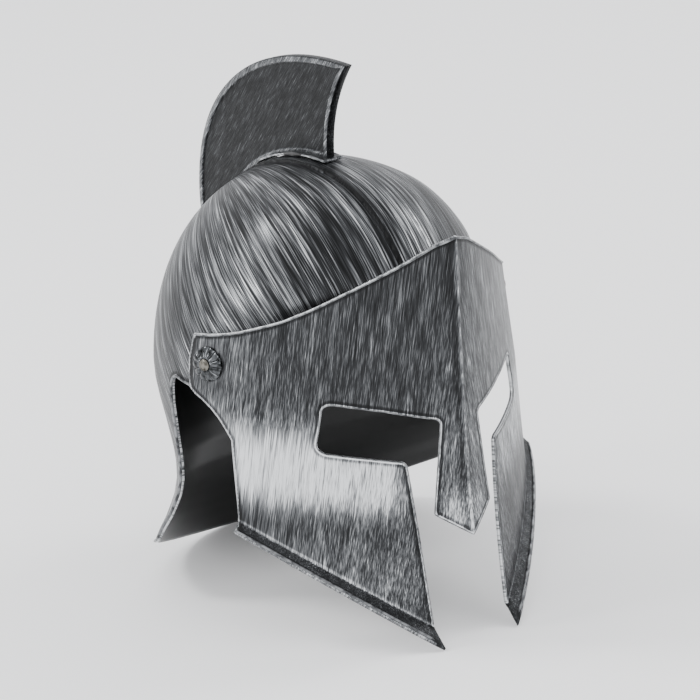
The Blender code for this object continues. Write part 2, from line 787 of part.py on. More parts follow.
def crest_fin():
    """The crest as a bmesh: a flat fin with a raised rim round both faces."""
    bm = bmesh.new()
    half = CREST_THICKNESS / 2.0
    verts = [bm.verts.new(Vector((-half, p.x, p.y)) * MM) for p in crest_outline()]
    face = bm.faces.new(verts)
    grown = bmesh.ops.extrude_face_region(bm, geom=[face])["geom"]
    moved = [v for v in grown if isinstance(v, bmesh.types.BMVert)]
    bmesh.ops.translate(bm, verts=moved, vec=Vector((CREST_THICKNESS, 0.0, 0.0)) * MM)
    bmesh.ops.recalc_face_normals(bm, faces=bm.faces)
    for panel in [f for f in bm.faces if abs(f.normal.x) > 0.9]:
        bmesh.ops.inset_region(
            bm, faces=[panel], thickness=CREST_RIM * MM, depth=-CREST_PANEL_SINK * MM, use_even_offset=True
        )
    return bm


def saddle():
    """The plate along the crest's foot, as its own closed bmesh."""
    bm = bmesh.new()
    end = CREST_FOOT_Y + (CREST_TAIL_Y - CREST_FOOT_Y) * SADDLE_TAIL
    ys = base_ys(CREST_FOOT_Y - SADDLE_FRONT, end, SADDLE_STEPS)
    rings = []
    for i, y in enumerate(ys):
        half = SADDLE_HALF_WIDTH * (1.0 - SADDLE_TAPER * eased(i / SADDLE_STEPS, SADDLE_TAPER_START, 1.0))
        low, high = crest_base(y), crest_base(y, SADDLE_THICKNESS)
        top = half * SADDLE_TOP_SHARE
        corners = ((-half, low), (half, low), (top, high), (-top, high))
        rings.append([bm.verts.new(Vector((x, p.x, p.y)) * MM) for x, p in corners])
    for a, b in zip(rings, rings[1:]):
        for i in range(4):
            j = (i + 1) % 4
            bm.faces.new((a[i], a[j], b[j], b[i]))
    bm.faces.new(rings[0][::-1])
    bm.faces.new(rings[-1])
    return cutter(bm, "add_saddle")


def parent_all(root, objects):
    """Hangs every object on the empty that stands the helmet up."""
    for obj in objects:
        obj.parent = root


def lowest(obj, graph, turn):
    """The lowest point of an object once the helmet is tipped by an angle."""
    mesh = obj.evaluated_get(graph).to_mesh()
    place = Matrix.Rotation(turn, 4, "X") @ obj.matrix_world
    height = min((place @ v.co).z for v in mesh.vertices)
    obj.evaluated_get(graph).to_mesh_clear()
    return height


def stand(root, shell, visor, solids):
    """Tips the helmet until cheek points and neck rim are level, then sets its bounding box over the origin."""
    bpy.context.view_layer.update()
    graph = bpy.context.evaluated_depsgraph_get()
    low, high = (math.radians(degrees) for degrees in STAND_TIP_RANGE)
    for _ in range(30):
        turn = (low + high) / 2.0
        if lowest(visor, graph, turn) > lowest(shell, graph, turn):
            low = turn
        else:
            high = turn
    tip = Matrix.Rotation(turn, 4, "X")
    points = []
    for obj in solids:
        mesh = obj.evaluated_get(graph).to_mesh()
        points += [(tip @ obj.matrix_world @ v.co)[:] for v in mesh.vertices]
        obj.evaluated_get(graph).to_mesh_clear()
    points = np.array(points)
    middle = (points.min(axis=0) + points.max(axis=0)) / 2.0
    root.rotation_euler.x = turn
    root.location = (-middle[0], -middle[1], -points[:, 2].min())


def main():
    """Builds the helmet."""
    clear_scene()
    silver = principled("aged_silver_plastic", (0.16, 0.165, 0.17), 0.55, 0.42)
    dark = principled("dark_silver_plastic", (0.07, 0.072, 0.075), 0.45, 0.5)
    chrome = principled("chromed_plastic", (0.42, 0.43, 0.44), 1.0, 0.18)
    brass = principled("brass_tone", (0.35, 0.26, 0.12), 1.0, 0.32)

    shell = to_object(skull_surface(), "skull_shell", silver)
    thicken(shell, WALL)
    boolean(shell, bore_cutter("cut_skull_bores"))
    smooth_with_creases(shell)

    visor = to_object(visor_surface(), "visor", silver, (0.0, PIVOT_Y * MM, PIVOT_Z * MM))
    thicken(visor, VISOR_WALL)
    boolean(visor, face_cutter())
    bore = bore_cutter("cut_visor_bores")
    boolean(visor, bore)
    smooth_with_creases(visor)

    crest = to_object(crest_fin(), "crest_fin", dark)
    boolean(crest, saddle(), "UNION")

    pieces = [shell, visor, crest]
    for side, word in ((-1.0, "right"), (1.0, "left")):
        washer = rosette(side, f"rosette_{word}", chrome, bore)
        pin = pivot_pin(side, f"pivot_pin_{word}", brass)
        smooth_with_creases(pin)
        pieces += [washer, pin]

    root = bpy.data.objects.new("helmet_stand", None)
    bpy.context.scene.collection.objects.link(root)
    parent_all(root, [obj for obj in bpy.data.objects if obj is not root])
    stand(root, shell, visor, pieces)


if __name__ == "__main__":
    main()
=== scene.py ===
"""Dressed model of a gladiator costume helmet: moulded plastic, silver dry-brushed over black.

The helmet is worked out in its own frame, in millimetres. One matrix stands it up on its cheek
points and neck rim.
"""

import logging
import math
from collections.abc import Callable, Sequence
from dataclasses import dataclass, field
from enum import Enum

import bmesh
import bpy
from mathutils import Matrix, Vector
from mathutils.kdtree import KDTree


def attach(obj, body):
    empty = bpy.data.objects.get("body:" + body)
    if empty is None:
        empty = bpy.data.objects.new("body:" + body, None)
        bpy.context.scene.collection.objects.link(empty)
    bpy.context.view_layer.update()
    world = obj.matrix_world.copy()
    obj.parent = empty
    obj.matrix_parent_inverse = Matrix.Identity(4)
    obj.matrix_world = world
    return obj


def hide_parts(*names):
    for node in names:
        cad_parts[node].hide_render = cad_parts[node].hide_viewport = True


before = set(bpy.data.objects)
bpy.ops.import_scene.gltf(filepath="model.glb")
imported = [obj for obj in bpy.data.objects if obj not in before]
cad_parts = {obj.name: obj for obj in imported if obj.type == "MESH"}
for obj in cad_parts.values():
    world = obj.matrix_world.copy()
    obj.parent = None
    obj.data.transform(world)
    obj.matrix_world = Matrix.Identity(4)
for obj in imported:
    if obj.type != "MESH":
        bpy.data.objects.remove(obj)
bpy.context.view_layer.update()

LOG = logging.getLogger("helmet")
MM = 0.001
TIP = math.atan2(0.08677369, 0.99622804)
STAND = Matrix.Translation(Vector((0.0, 10.68029, 12.93255))) @ Matrix.Rotation(TIP, 4, "X")

Table = tuple[tuple[float, ...], ...]
Place = Callable[[float, float], Vector]
Shape = Callable[[float, float, float], Vector]
Socket = bpy.types.NodeSocket


class Body(Enum):
    """The moving groups of the frame."""

    SKULL = "skull"
    VISOR = "visor"


class Side(Enum):
    """The wearer's sides, as signs along X."""

    RIGHT = -1.0
    LEFT = 1.0


def column(table: Table, index: int) -> list[float]:
    """One column of a table."""
    return [row[index] for row in table]


def between(value: float, xs: Sequence[float], ys: Sequence[float]) -> float:
    """Reads a table of rising xs in straight lines.

    Args:
        value: Where to read.
        xs: Rising places.
        ys: Values at those places.

    Returns:
        The value there, held level beyond both ends.
    """
    if value <= xs[0]:
        return ys[0]
    for x0, x1, y0, y1 in zip(xs, xs[1:], ys, ys[1:]):
        if value <= x1:
            return y0 + (y1 - y0) * (value - x0) / (x1 - x0)
    return ys[-1]


def eased(value: float, low: float, high: float) -> float:
    """0 below low, 1 above high, and a smooth step between."""
    t = min(max((value - low) / (high - low), 0.0), 1.0)
    return t * t * (3.0 - 2.0 * t)


def bump(value: float, middle: float, width: float) -> float:
    """1 at the middle, fading smoothly to 0 a width away."""
    return 1.0 - eased(abs(value - middle), 0.0, width)


def solve(miss: Callable[[float], float], low: float, high: float) -> float:
    """Halves a range until it closes on the place where miss turns from negative to positive."""
    for _ in range(40):
        middle = (low + high) / 2.0
        if miss(middle) < 0.0:
            low = middle
        else:
            high = middle
    return low


def sheet(columns: int, rows: int, place: Place) -> bmesh.types.BMesh:
    """A grid of faces laid over a surface.

    Args:
        columns: Faces across.
        rows: Faces along.
        place: Gives the point for shares across and along, both 0 to 1.

    Returns:
        The grid, with points that meet merged and its faces turned one way.
    """
    bm = bmesh.new()
    bmesh.ops.create_grid(bm, x_segments=columns, y_segments=rows, size=0.5)
    for vert in bm.verts:
        vert.co = place(vert.co.x + 0.5, vert.co.y + 0.5)
    bmesh.ops.remove_doubles(bm, verts=bm.verts, dist=0.02)
    return bm


def turn_outwards(bm: bmesh.types.BMesh, centre: Vector) -> None:
    """Recalculates the normals and, where the sheet then faces its centre, turns it round.

    Args:
        bm: An open or closed sheet.
        centre: A point that most faces should look away from.
    """
    bmesh.ops.recalc_face_normals(bm, faces=bm.faces)
    facing = sum((f.calc_center_median() - centre).dot(f.normal) * f.calc_area() for f in bm.faces)
    if facing < 0.0:
        bmesh.ops.reverse_faces(bm, faces=bm.faces)
    bm.normal_update()


def swept(path: list[Vector], radius: float, closed: bool = False, steps: int = 8) -> bmesh.types.BMesh:
    """A round bead along a path.

    Args:
        path: The bead's middle line.
        radius: Its radius in millimetres.
        closed: Whether the last point joins the first.
        steps: Faces round it.

    Returns:
        A closed tube whose open ends taper to a point.
    """
    count = len(path)
    frames: list[tuple[Vector, Vector]] = []
    side = Vector((0.31, 0.27, 0.91))
    for i, here in enumerate(path):
        before = path[i - 1] if i or closed else here
        after = path[(i + 1) % count] if i < count - 1 or closed else here
        along = (after - before).normalized()
        side = (side - along * side.dot(along)).normalized()
        frames.append((side, along.cross(side)))

    def place(u: float, v: float) -> Vector:
        i = round(v * (count if closed else count - 1)) % count
        turn = 2.0 * math.pi * u
        end = 1.0
        if not closed:
            end = math.sqrt(max(1.0 - (1.0 - min(i, count - 1 - i, 3) / 3.0) ** 2, 0.0))
        a, b = frames[i]
        return path[i] + (a * math.cos(turn) + b * math.sin(turn)) * (radius * end)

    bm = sheet(steps, count if closed else count - 1, place)
    bmesh.ops.recalc_face_normals(bm, faces=bm.faces)
    return bm


def turned(profile: Sequence[tuple[float, float]], steps: int, shape: Shape) -> bmesh.types.BMesh:
    """A closed turned solid.

    Args:
        profile: Radius and height pairs that start and end on the axis.
        steps: Faces round it.
        shape: Gives the point for a radius, a height and an angle.

    Returns:
        The solid, closed and facing outwards.
    """
    last = len(profile) - 1

    def place(u: float, v: float) -> Vector:
        radius, height = profile[round(v * last)]
        return shape(radius, height, 2.0 * math.pi * u)

    bm = sheet(steps, last, place)
    bmesh.ops.recalc_face_normals(bm, faces=bm.faces)
    return bm


def finish_mesh(
    bm: bmesh.types.BMesh, name: str, finishes: Sequence[bpy.types.Material], crease: float = 40.0
) -> bpy.types.Object:
    """Stands a mesh up, puts it in the scene in metres and shades it smooth with its creases kept.

    Args:
        bm: The mesh in the helmet's own frame, in millimetres; it is freed.
        name: The piece's name.
        finishes: Its materials, in slot order.
        crease: The angle in degrees from which an edge stays sharp.

    Returns:
        The new object, at the origin.
    """
    bmesh.ops.transform(bm, matrix=Matrix.Scale(MM, 4) @ STAND, verts=bm.verts)
    mesh = bpy.data.meshes.new(name)
    bm.to_mesh(mesh)
    bm.free()
    for finish in finishes:
        mesh.materials.append(finish)
    mesh.shade_smooth()
    mesh.set_sharp_from_angle(angle=math.radians(crease))
    obj = bpy.data.objects.new(name, mesh)
    bpy.context.scene.collection.objects.link(obj)
    return obj


def join_into(target: bmesh.types.BMesh, other: bmesh.types.BMesh) -> None:
    """Adds one mesh to another and frees it."""
    spare = bpy.data.meshes.new("spare")
    other.to_mesh(spare)
    other.free()
    target.from_mesh(spare)
    bpy.data.meshes.remove(spare)


def open_bores(bm: bmesh.types.BMesh, at: tuple[float, float], radius: float, reach: float) -> None:
    """Opens the pivot holes at both temples, which the rosette and the pin's tail cover.

    Args:
        bm: The sheet.
        at: The pivot axis, as y and z.
        radius: The holes' radius in millimetres.
        reach: Up to how many radii away an open edge belongs to a hole.
    """
    y, z = at
    middles = {f: f.calc_center_median() for f in bm.faces}
    near = [f for f, middle in middles.items() if math.hypot(middle.y - y, middle.z - z) < radius]
    bmesh.ops.delete(bm, geom=near, context="FACES")
    for vert in bm.verts:
        away = Vector((0.0, vert.co.y - y, vert.co.z - z))
        if vert.is_boundary and away.length < reach * radius:
            vert.co += away * (radius / away.length - 1.0)


def wall(obj: bpy.types.Object, thickness: float) -> None:
    """Gives a sheet its wall, towards the inside, with the second material within.

    Args:
        obj: The sheet.
        thickness: The wall in millimetres.
    """
    solid = obj.modifiers.new("Wall", "SOLIDIFY")
    solid.thickness = thickness * MM
    solid.offset = -1.0
    solid.use_quality_normals = True
    solid.material_offset = 1
    solid.material_offset_rim = 0


def edge_distances(bm: bmesh.types.BMesh, paths: Sequence[list[Vector]]) -> None:
    """Writes each point's distance from the nearest of some lines, in millimetres, as the attribute rim.

    Args:
        bm: The sheet.
        paths: Lines as close-set points.
    """
    points = [p for path in paths for p in path]
    tree = KDTree(len(points))
    for i, p in enumerate(points):
        tree.insert(p, i)
    tree.balance()
    layer = bm.verts.layers.float.new("rim")
    for vert in bm.verts:
        vert[layer] = min(tree.find(vert.co)[2], 50.0)


def evenly(path: list[Vector], steps: int) -> list[Vector]:
    """The same line in steps of equal length.

    Args:
        path: A line as points.
        steps: How many steps to take.

    Returns:
        Its points, ends included.
    """
    reach = [0.0]
    for a, b in zip(path, path[1:]):
        reach.append(reach[-1] + (b - a).length)
    places = [reach[-1] * i / steps for i in range(steps + 1)]
    return [Vector([between(d, reach, [p[k] for p in path]) for k in range(len(path[0]))]) for d in places]


def dense(path: list[Vector], step: float = 0.7) -> list[Vector]:
    """The same line with points no further apart than a step."""
    out = [path[0]]
    for a, b in zip(path, path[1:]):
        count = max(int((b - a).length / step), 1)
        out += [a.lerp(b, (i + 1) / count) for i in range(count)]
    return out


def linear(hex_code: str) -> tuple[float, float, float, float]:
    """An sRGB hex colour as linear RGBA."""
    parts = [int(hex_code[i : i + 2], 16) / 255.0 for i in (1, 3, 5)]
    red, green, blue = [c / 12.92 if c <= 0.04045 else ((c + 0.055) / 1.055) ** 2.4 for c in parts]
    return red, green, blue, 1.0


def add_node(
    tree: bpy.types.NodeTree, kind: str, links: dict[str | int, Socket] | None = None, **settings: object
) -> bpy.types.Node:
    """Adds a node with its settings and links.

    Args:
        tree: The node tree.
        kind: The node's type name.
        links: What feeds its inputs, by input name or index.
        settings: Its properties, or input values under names that start with in_.

    Returns:
        The new node.
    """
    node = tree.nodes.new(kind)
    for key, value in settings.items():
        if key.startswith("in_"):
            name = key[3:]
            node.inputs[int(name) if name.isdigit() else name.replace("_", " ")].default_value = value
        else:
            setattr(node, key, value)
    for socket, source in (links or {}).items():
        tree.links.new(source, node.inputs[socket])
    return node


def fresh_material(name: str) -> tuple[bpy.types.Material, bpy.types.NodeTree, bpy.types.Node]:
    """A new material, its node tree and its Principled shader."""
    material = bpy.data.materials.new(name)
    material.use_nodes = True
    return material, material.node_tree, material.node_tree.nodes["Principled BSDF"]


@dataclass(frozen=True)
class DryBrushedSilver:
    """Silver paint dragged nearly dry over moulded black plastic.

    To the eye: fine strokes of silver with black left between them, and worn edges that shine.
    """

    name: str
    tones: tuple[str, str, str, str] = ("#0b0c0d", "#2d2e30", "#6c6e70", "#d4d6d8")
    stroke_width: float = 1.5
    stroke_length: float = 55.0
    contrast: float = 1.0
    fine_gain: float = 4.2
    medium_gain: float = 2.0
    broad_gain: float = 1.2
    metallic: float = 0.6
    roughness: float = 0.36
    edge_bright: float = 1.0

    def make(self) -> bpy.types.Material:
        """Builds the material from the attributes stroke (mm), the silver's cover (how much silver, with
        painted light and shade mixed in on the shell and the plate) and rim (mm).
        """
        material, tree, shader = fresh_material(self.name)
        stroke = add_node(tree, "ShaderNodeAttribute", attribute_name="stroke").outputs["Vector"]
        # This attribute carries how much silver there is and, on the shell and the plate, painted light and
        # shade.
        silver_and_painted_light = add_node(tree, "ShaderNodeAttribute", attribute_name="silver_and_painted_light").outputs["Fac"]
        rim = add_node(tree, "ShaderNodeAttribute", attribute_name="rim").outputs["Fac"]
        across, along = 1.0 / self.stroke_width, 1.0 / self.stroke_length

        def strokes(width: float, length: float, detail: float, shift: float) -> Socket:
            """Noise drawn out along the strokes."""
            size = (across / width, across / width, along / length)
            place = (shift, shift, shift)
            laid = add_node(tree, "ShaderNodeMapping", {"Vector": stroke}, in_Scale=size, in_Location=place)
            links = {"Vector": laid.outputs[0]}
            noise = add_node(
                tree, "ShaderNodeTexNoise", links, in_Scale=1.0, in_Detail=detail, in_Roughness=0.6
            )
            return noise.outputs["Fac"]

        def blend(kind: str, a: Socket | float, b: Socket | float) -> Socket:
            """One arithmetic step on sockets or numbers."""
            node = tree.nodes.new("ShaderNodeMath")
            node.operation = kind
            for slot, value in enumerate((a, b)):
                if isinstance(value, float):
                    node.inputs[slot].default_value = value
                else:
                    tree.links.new(value, node.inputs[slot])
            return node.outputs[0]

        fine = strokes(0.34, 0.55, 2.0, 3.1)
        medium = strokes(0.95, 0.9, 2.0, 17.7)
        broad = strokes(5.0, 1.4, 1.0, 41.3)
        fine = blend("MULTIPLY", blend("SUBTRACT", fine, 0.5), self.fine_gain)
        medium = blend("MULTIPLY", blend("SUBTRACT", medium, 0.5), self.medium_gain)
        broad = blend("MULTIPLY", blend("SUBTRACT", broad, 0.5), self.broad_gain)
        streak = blend("ADD", blend("ADD", fine, medium), broad)
        level = blend("ADD", silver_and_painted_light, blend("MULTIPLY", streak, self.contrast))
        edge = add_node(tree, "ShaderNodeValToRGB", {0: blend("DIVIDE", rim, 5.0)})
        ramp = edge.color_ramp
        ramp.elements[0].position, ramp.elements[0].color = 0.0, (0.9, 0.9, 0.9, 1.0)
        ramp.elements[1].position, ramp.elements[1].color = 1.0, (0.5, 0.5, 0.5, 1.0)
        for position, value in ((0.16, 0.85), (0.26, 0.22), (0.42, 0.26), (0.62, 0.5)):
            ramp.elements.new(position).color = (value, value, value, 1.0)
        lift = blend("MULTIPLY", blend("SUBTRACT", edge.outputs["Color"], 0.5), 1.3 * self.edge_bright)
        level = blend("ADD", level, lift)
        tone = add_node(tree, "ShaderNodeValToRGB", {0: level})
        ramp = tone.color_ramp
        ramp.elements[0].position, ramp.elements[0].color = 0.05, linear(self.tones[0])
        ramp.elements[1].position, ramp.elements[1].color = 0.95, linear(self.tones[3])
        ramp.elements.new(0.36).color = linear(self.tones[1])
        ramp.elements.new(0.64).color = linear(self.tones[2])
        tree.links.new(tone.outputs["Color"], shader.inputs["Base Color"])
        rough = add_node(tree, "ShaderNodeMapRange", {"Value": level}, in_From_Min=0.0, in_From_Max=1.0)
        rough.inputs["To Min"].default_value = self.roughness + 0.12
        rough.inputs["To Max"].default_value = self.roughness - 0.05
        tree.links.new(rough.outputs[0], shader.inputs["Roughness"])
        relief = add_node(tree, "ShaderNodeBump", {"Height": level}, in_Strength=0.25, in_Distance=0.0002)
        tree.links.new(relief.outputs[0], shader.inputs["Normal"])
        shader.inputs["Metallic"].default_value = self.metallic
        return material


@dataclass(frozen=True)
class MouldedBlackPlastic:
    """Bare black plastic inside the shell, as it left the mould.

    To the eye: satin and nearly black, with a fine grain in what it reflects.
    """

    name: str
    tone: str = "#060707"
    roughness: float = 0.34
    grain: float = 0.9

    def make(self) -> bpy.types.Material:
        """Builds the material."""
        material, tree, shader = fresh_material(self.name)
        place = add_node(tree, "ShaderNodeTexCoord").outputs["Object"]
        scale = 1.0 / (self.grain * MM)
        noise = add_node(tree, "ShaderNodeTexNoise", {"Vector": place}, in_Scale=scale, in_Detail=2.0)
        height = noise.outputs["Fac"]
        relief = add_node(tree, "ShaderNodeBump", {"Height": height}, in_Strength=0.06, in_Distance=0.0002)
        tree.links.new(relief.outputs[0], shader.inputs["Normal"])
        shader.inputs["Base Color"].default_value = linear(self.tone)
        shader.inputs["Roughness"].default_value = self.roughness
        shader.inputs["IOR"].default_value = 1.5
        return material


@dataclass(frozen=True)
class BrightMetalPaint:
    """Metallised plastic, a plated pin or a worn bead.

    To the eye: plain metal without brush strokes, with darker specks where it has rubbed.
    """

    name: str
    tone: str = "#8f9193"
    rubbed: str = "#2a2b2c"
    roughness: float = 0.2
    speck: float = 2.2
    metallic: float = 1.0

    def make(self) -> bpy.types.Material:
        """Builds the material."""
        material, tree, shader = fresh_material(self.name)
        place = add_node(tree, "ShaderNodeTexCoord").outputs["Object"]
        scale = 1.0 / (self.speck * MM)
        noise = add_node(tree, "ShaderNodeTexNoise", {"Vector": place}, in_Scale=scale, in_Detail=3.0)
        tone = add_node(tree, "ShaderNodeValToRGB", {0: noise.outputs["Fac"]})
        tone.color_ramp.elements[0].position, tone.color_ramp.elements[0].color = 0.36, linear(self.rubbed)
        tone.color_ramp.elements[1].position, tone.color_ramp.elements[1].color = 0.6, linear(self.tone)
        tree.links.new(tone.outputs["Color"], shader.inputs["Base Color"])
        shader.inputs["Metallic"].default_value = self.metallic
        shader.inputs["Roughness"].default_value = self.roughness
        return material


@dataclass
class SkullForm:
    """The skull's outer surface in millimetres: a leaning dome, and a neck guard below its equator."""

    half_width: float = 94.0
    front_depth: float = 112.0
    back_depth: float = 110.5
    front_fullness: float = 1.68
    back_fullness: float = 2.35
    equator: float = 107.6
    rise: float = 117.9
    lean: float = 14.5
    lean_power: float = 3.86
    forehead_z: float = 152.0
    tuck: float = 0.22
    tuck_heights: tuple[float, float] = (160.0, 188.0)
    ear_z: float = 119.5
    ear_corner_y: float = 12.5
    ear_radius: float = 8.5
    neck_corner: tuple[float, float] = (27.0, 18.3)
    neck_rim: tuple[float, float] = (88.0, -19.8)
    sections: Table = (
        (0.00, 1.115, 0.790),
        (0.08, 1.084, 0.760),
        (0.15, 1.044, 0.738),
        (0.22, 1.014, 0.720),
        (0.29, 0.986, 0.706),
        (0.39, 0.969, 0.695),
        (0.49, 0.970, 0.704),
        (0.57, 0.974, 0.738),
        (0.66, 0.980, 0.800),
        (0.74, 0.984, 0.862),
        (0.83, 0.990, 0.935),
        (0.92, 0.997, 0.985),
        (1.00, 1.000, 1.000),
    )
    front_edge: Table = (
        (0.000, 27.0),
        (0.073, 23.9),
        (0.135, 21.6),
        (0.195, 20.0),
        (0.250, 19.3),
        (0.340, 19.2),
        (0.430, 19.4),
        (0.545, 20.0),
        (0.663, 20.7),
        (0.783, 21.2),
        (0.916, 21.0),
    )

    def dome(self, turn: float, z: float) -> Vector:
        """A point of the dome.

        Args:
            turn: Longitude from the front, 0, to the back, pi.
            z: Height.

        Returns:
            The point on the wearer's left half.
        """
        share = min((z - self.equator) / self.rise, 1.0)
        ring = math.sqrt(max(1.0 - share**2, 0.0))
        middle = -self.lean * max(share, 0.0) ** self.lean_power
        side, ahead = math.sin(turn), math.cos(turn)
        if ahead > 0.0:
            power = 2.0 / self.front_fullness
            tuck = self.tuck * (1.0 - eased(z, *self.tuck_heights))
            y = middle - self.front_depth * (1.0 - tuck) * ring * ahead**power
            return Vector((self.half_width * ring * side**power, y, z))
        back = (1.0 - max(share, 0.0) ** self.back_fullness) ** (1.0 / self.back_fullness)
        return Vector((self.half_width * ring * side, middle - self.back_depth * back * ahead, z))

    def rim_z(self, turn: float) -> float:
        """Height of the neck guard's rim at a longitude."""
        y = -self.neck_rim[0] * math.cos(turn)
        share = (y - self.neck_corner[0]) / (self.neck_rim[0] - self.neck_corner[0])
        return self.neck_corner[1] + share * (self.neck_rim[1] - self.neck_corner[1])

    def neck(self, turn: float, z: float) -> Vector:
        """A point of the outside at any height, on the wearer's left half."""
        if z >= self.equator:
            return self.dome(turn, z)
        rim = self.rim_z(turn)
        share = (z - rim) / (self.equator - rim)
        shares = column(self.sections, 0)
        width = self.half_width * between(share, shares, column(self.sections, 1))
        depth = self.back_depth * between(share, shares, column(self.sections, 2))
        return Vector((width * math.sin(turn), -depth * math.cos(turn), z))

    def edge_y(self, z: float) -> float:
        """How far back the neck guard's front edge stands at a height."""
        if z > self.ear_z - self.ear_radius:
            rise = min(z - (self.ear_z - self.ear_radius), self.ear_radius)
            return self.ear_corner_y + math.sqrt(max(self.ear_radius**2 - rise**2, 0.0))
        share = (z - self.neck_corner[1]) / (self.ear_z - self.neck_corner[1])
        return between(share, column(self.front_edge, 0), column(self.front_edge, 1))

    def edge_turn(self, z: float) -> float:
        """The longitude of the neck guard's front edge at a height."""
        target = self.edge_y(z)
        return solve(lambda turn: self.neck(turn, z).y - target, math.pi / 2, math.pi)

    def face_edge(self, turn: float, corner: float) -> float:
        """Height of the lower edge at the front."""
        return self.ear_z + (self.forehead_z - self.ear_z) * (1.0 - eased(turn, 0.0, corner))

    def crown_z(self, y: float) -> float:
        """Height of the outside on the middle line, without the band."""
        turn = 0.0 if y < -self.lean else math.pi
        far = abs(y + self.lean)
        top = self.equator + self.rise
        return solve(lambda z: far - abs(self.dome(turn, z).y + self.lean), self.equator, top)


@dataclass
class VisorForm:
    """The faceplate's outer surface in millimetres: a ridge, two cheeks and sides along the skull."""

    half_width: float = 100.0
    ridge_top: tuple[float, float] = (-111.0, 221.0)
    ridge_foot: tuple[float, float] = (-129.0, 57.0)
    ridge_bow: float = 1.4
    slope: float = 0.39
    curve: float = 0.0052
    wrap: float = 9.1
    wrap_at: float = 95.0
    wrap_power: float = 14.2
    spread: float = 0.037 / 85.0
    true_z: float = 144.0
    tightening: float = 0.0008
    temple_z: float = 112.0
    swing: float = 5.0
    swing_heights: tuple[float, float] = (98.0, 7.0)
    brow_fall: float = 67.5
    brow_width: float = 96.0
    cheek_edge: tuple[float, float] = (-8.3, 0.702)
    tip_x: float = 24.2
    flange_out: tuple[float, float] = (8.0, 4.6)
    flange_drop: tuple[float, float] = (5.0, 4.4)
    brow: Table = (
        (0.000, -0.004),
        (0.111, 0.064),
        (0.219, 0.174),
        (0.396, 0.355),
        (0.517, 0.486),
        (0.611, 0.594),
        (0.738, 0.732),
        (0.837, 0.825),
        (0.893, 0.885),
        (0.948, 0.943),
        (0.976, 0.973),
        (0.999, 0.996),
    )
    rear: Table = (
        (153.8, 95.9),
        (148.6, 96.8),
        (138.6, 98.4),
        (129.5, 99.4),
        (122.8, 100.0),
        (119.9, 99.3),
        (118.4, 98.2),
        (115.3, 96.7),
        (112.0, 95.6),
        (108.3, 94.6),
        (101.5, 92.9),
        (87.6, 93.2),
        (77.0, 93.4),
        (66.8, 93.6),
        (57.6, 93.9),
    )
    opening: Table = (
        (0.0, 57.5, 0.0),
        (18.0, 69.8, 1.5),
        (14.6, 97.0, 0.0),
        (11.8, 121.6, 3.0),
        (37.6, 126.6, 0.0),
        (60.3, 129.0, 4.5),
        (65.2, 101.8, 4.5),
        (47.5, 100.4, 0.0),
        (28.6, 98.6, 3.0),
        (27.2, 81.0, 0.0),
        (26.0, 62.0, 0.0),
        (25.0, 38.0, 0.0),
        (24.2, 8.0, 0.0),
        (23.0, -45.0, 0.0),
    )

    def ridge_y(self, z: float) -> float:
        """Where the ridge stands at a height."""
        share = (self.ridge_top[1] - z) / (self.ridge_top[1] - self.ridge_foot[1])
        bow = 4.0 * self.ridge_bow * share * (1.0 - share)
        return self.ridge_top[0] + (self.ridge_foot[0] - self.ridge_top[0]) * share + bow

    def plate_y(self, x: float, z: float) -> float:
        """Where the outside stands at a distance from the middle and a height."""
        x = abs(x)
        top, foot = self.swing_heights
        swing = self.swing * max((top - z) / (top - foot), 0.0) ** 2 * max(1.0 - x / self.half_width, 0.0)
        x = x / (1.0 + self.spread * (self.true_z - z) - self.tightening * max(z - self.temple_z, 0.0))
        wrap = self.wrap * (x / self.wrap_at) ** self.wrap_power
        return self.ridge_y(z) + self.slope * x + self.curve * x * x + wrap - swing

    def point(self, x: float, z: float) -> Vector:
        """A point of the outside."""
        return Vector((x, self.plate_y(x, z), z))

    def out(self, x: float, z: float) -> Vector:
        """The outward direction in plan, for the side that x is on."""
        side = abs(x)
        low = max(side - 0.5, 0.0)
        rise = (self.plate_y(side + 0.5, z) - self.plate_y(low, z)) / (side + 0.5 - low)
        return Vector((math.copysign(rise, x), -1.0, 0.0)).normalized()

    def brow_z(self, x: float) -> float:
        """Height of the top edge."""
        fall = between(abs(x) / self.brow_width, column(self.brow, 0), column(self.brow, 1))
        return self.ridge_top[1] - self.brow_fall * fall

    def cheek_z(self, x: float) -> float:
        """Height of the bend over the flange."""
        return self.cheek_edge[0] + self.cheek_edge[1] * abs(x)

    def width_at(self, share: float) -> float:
        """Half width of the plate at a share of the way down its rear edge."""
        heights, widths = column(self.rear, 0), column(self.rear, 1)
        z = heights[0] + share * (heights[-1] - heights[0])
        return between(z, heights[::-1], widths[::-1])

    def flange(self, x: float) -> Vector:
        """A point of the flange's lower edge."""
        side = abs(x)
        share = min(max((side - self.tip_x) / (self.rear[-1][1] - self.tip_x), 0.0), 1.0)
        out = self.flange_out[0] + share * (self.flange_out[1] - self.flange_out[0])
        drop = self.flange_drop[0] + share * (self.flange_drop[1] - self.flange_drop[0])
        z = self.cheek_z(side)
        return self.point(x, z) + self.out(x, z) * out - Vector((0.0, 0.0, drop))

    def outline(self, steps: int = 6) -> list[tuple[float, float]]:
        """The left half of the face opening with its corners rounded, as x and z."""
        corners = self.opening
        points: list[tuple[float, float]] = []
        for i, (x, z, radius) in enumerate(corners):
            here = Vector((x, z))
            if radius <= 0.0:
                points.append((x, z))
                continue
            before = (Vector(corners[i - 1][:2]) - here).normalized()
            after = (Vector(corners[i + 1][:2]) - here).normalized()
            half = before.angle(after) / 2.0
            centre = here + (before + after).normalized() * (radius / math.sin(half))
            start = here + before * (radius / math.tan(half)) - centre
            turn = start.angle_signed(here + after * (radius / math.tan(half)) - centre)
            for j in range(steps + 1):
                c, s = math.cos(-turn * j / steps), math.sin(-turn * j / steps)
                p = centre + Vector((c * start.x - s * start.y, s * start.x + c * start.y))
                points.append((p.x, p.y))
        return points


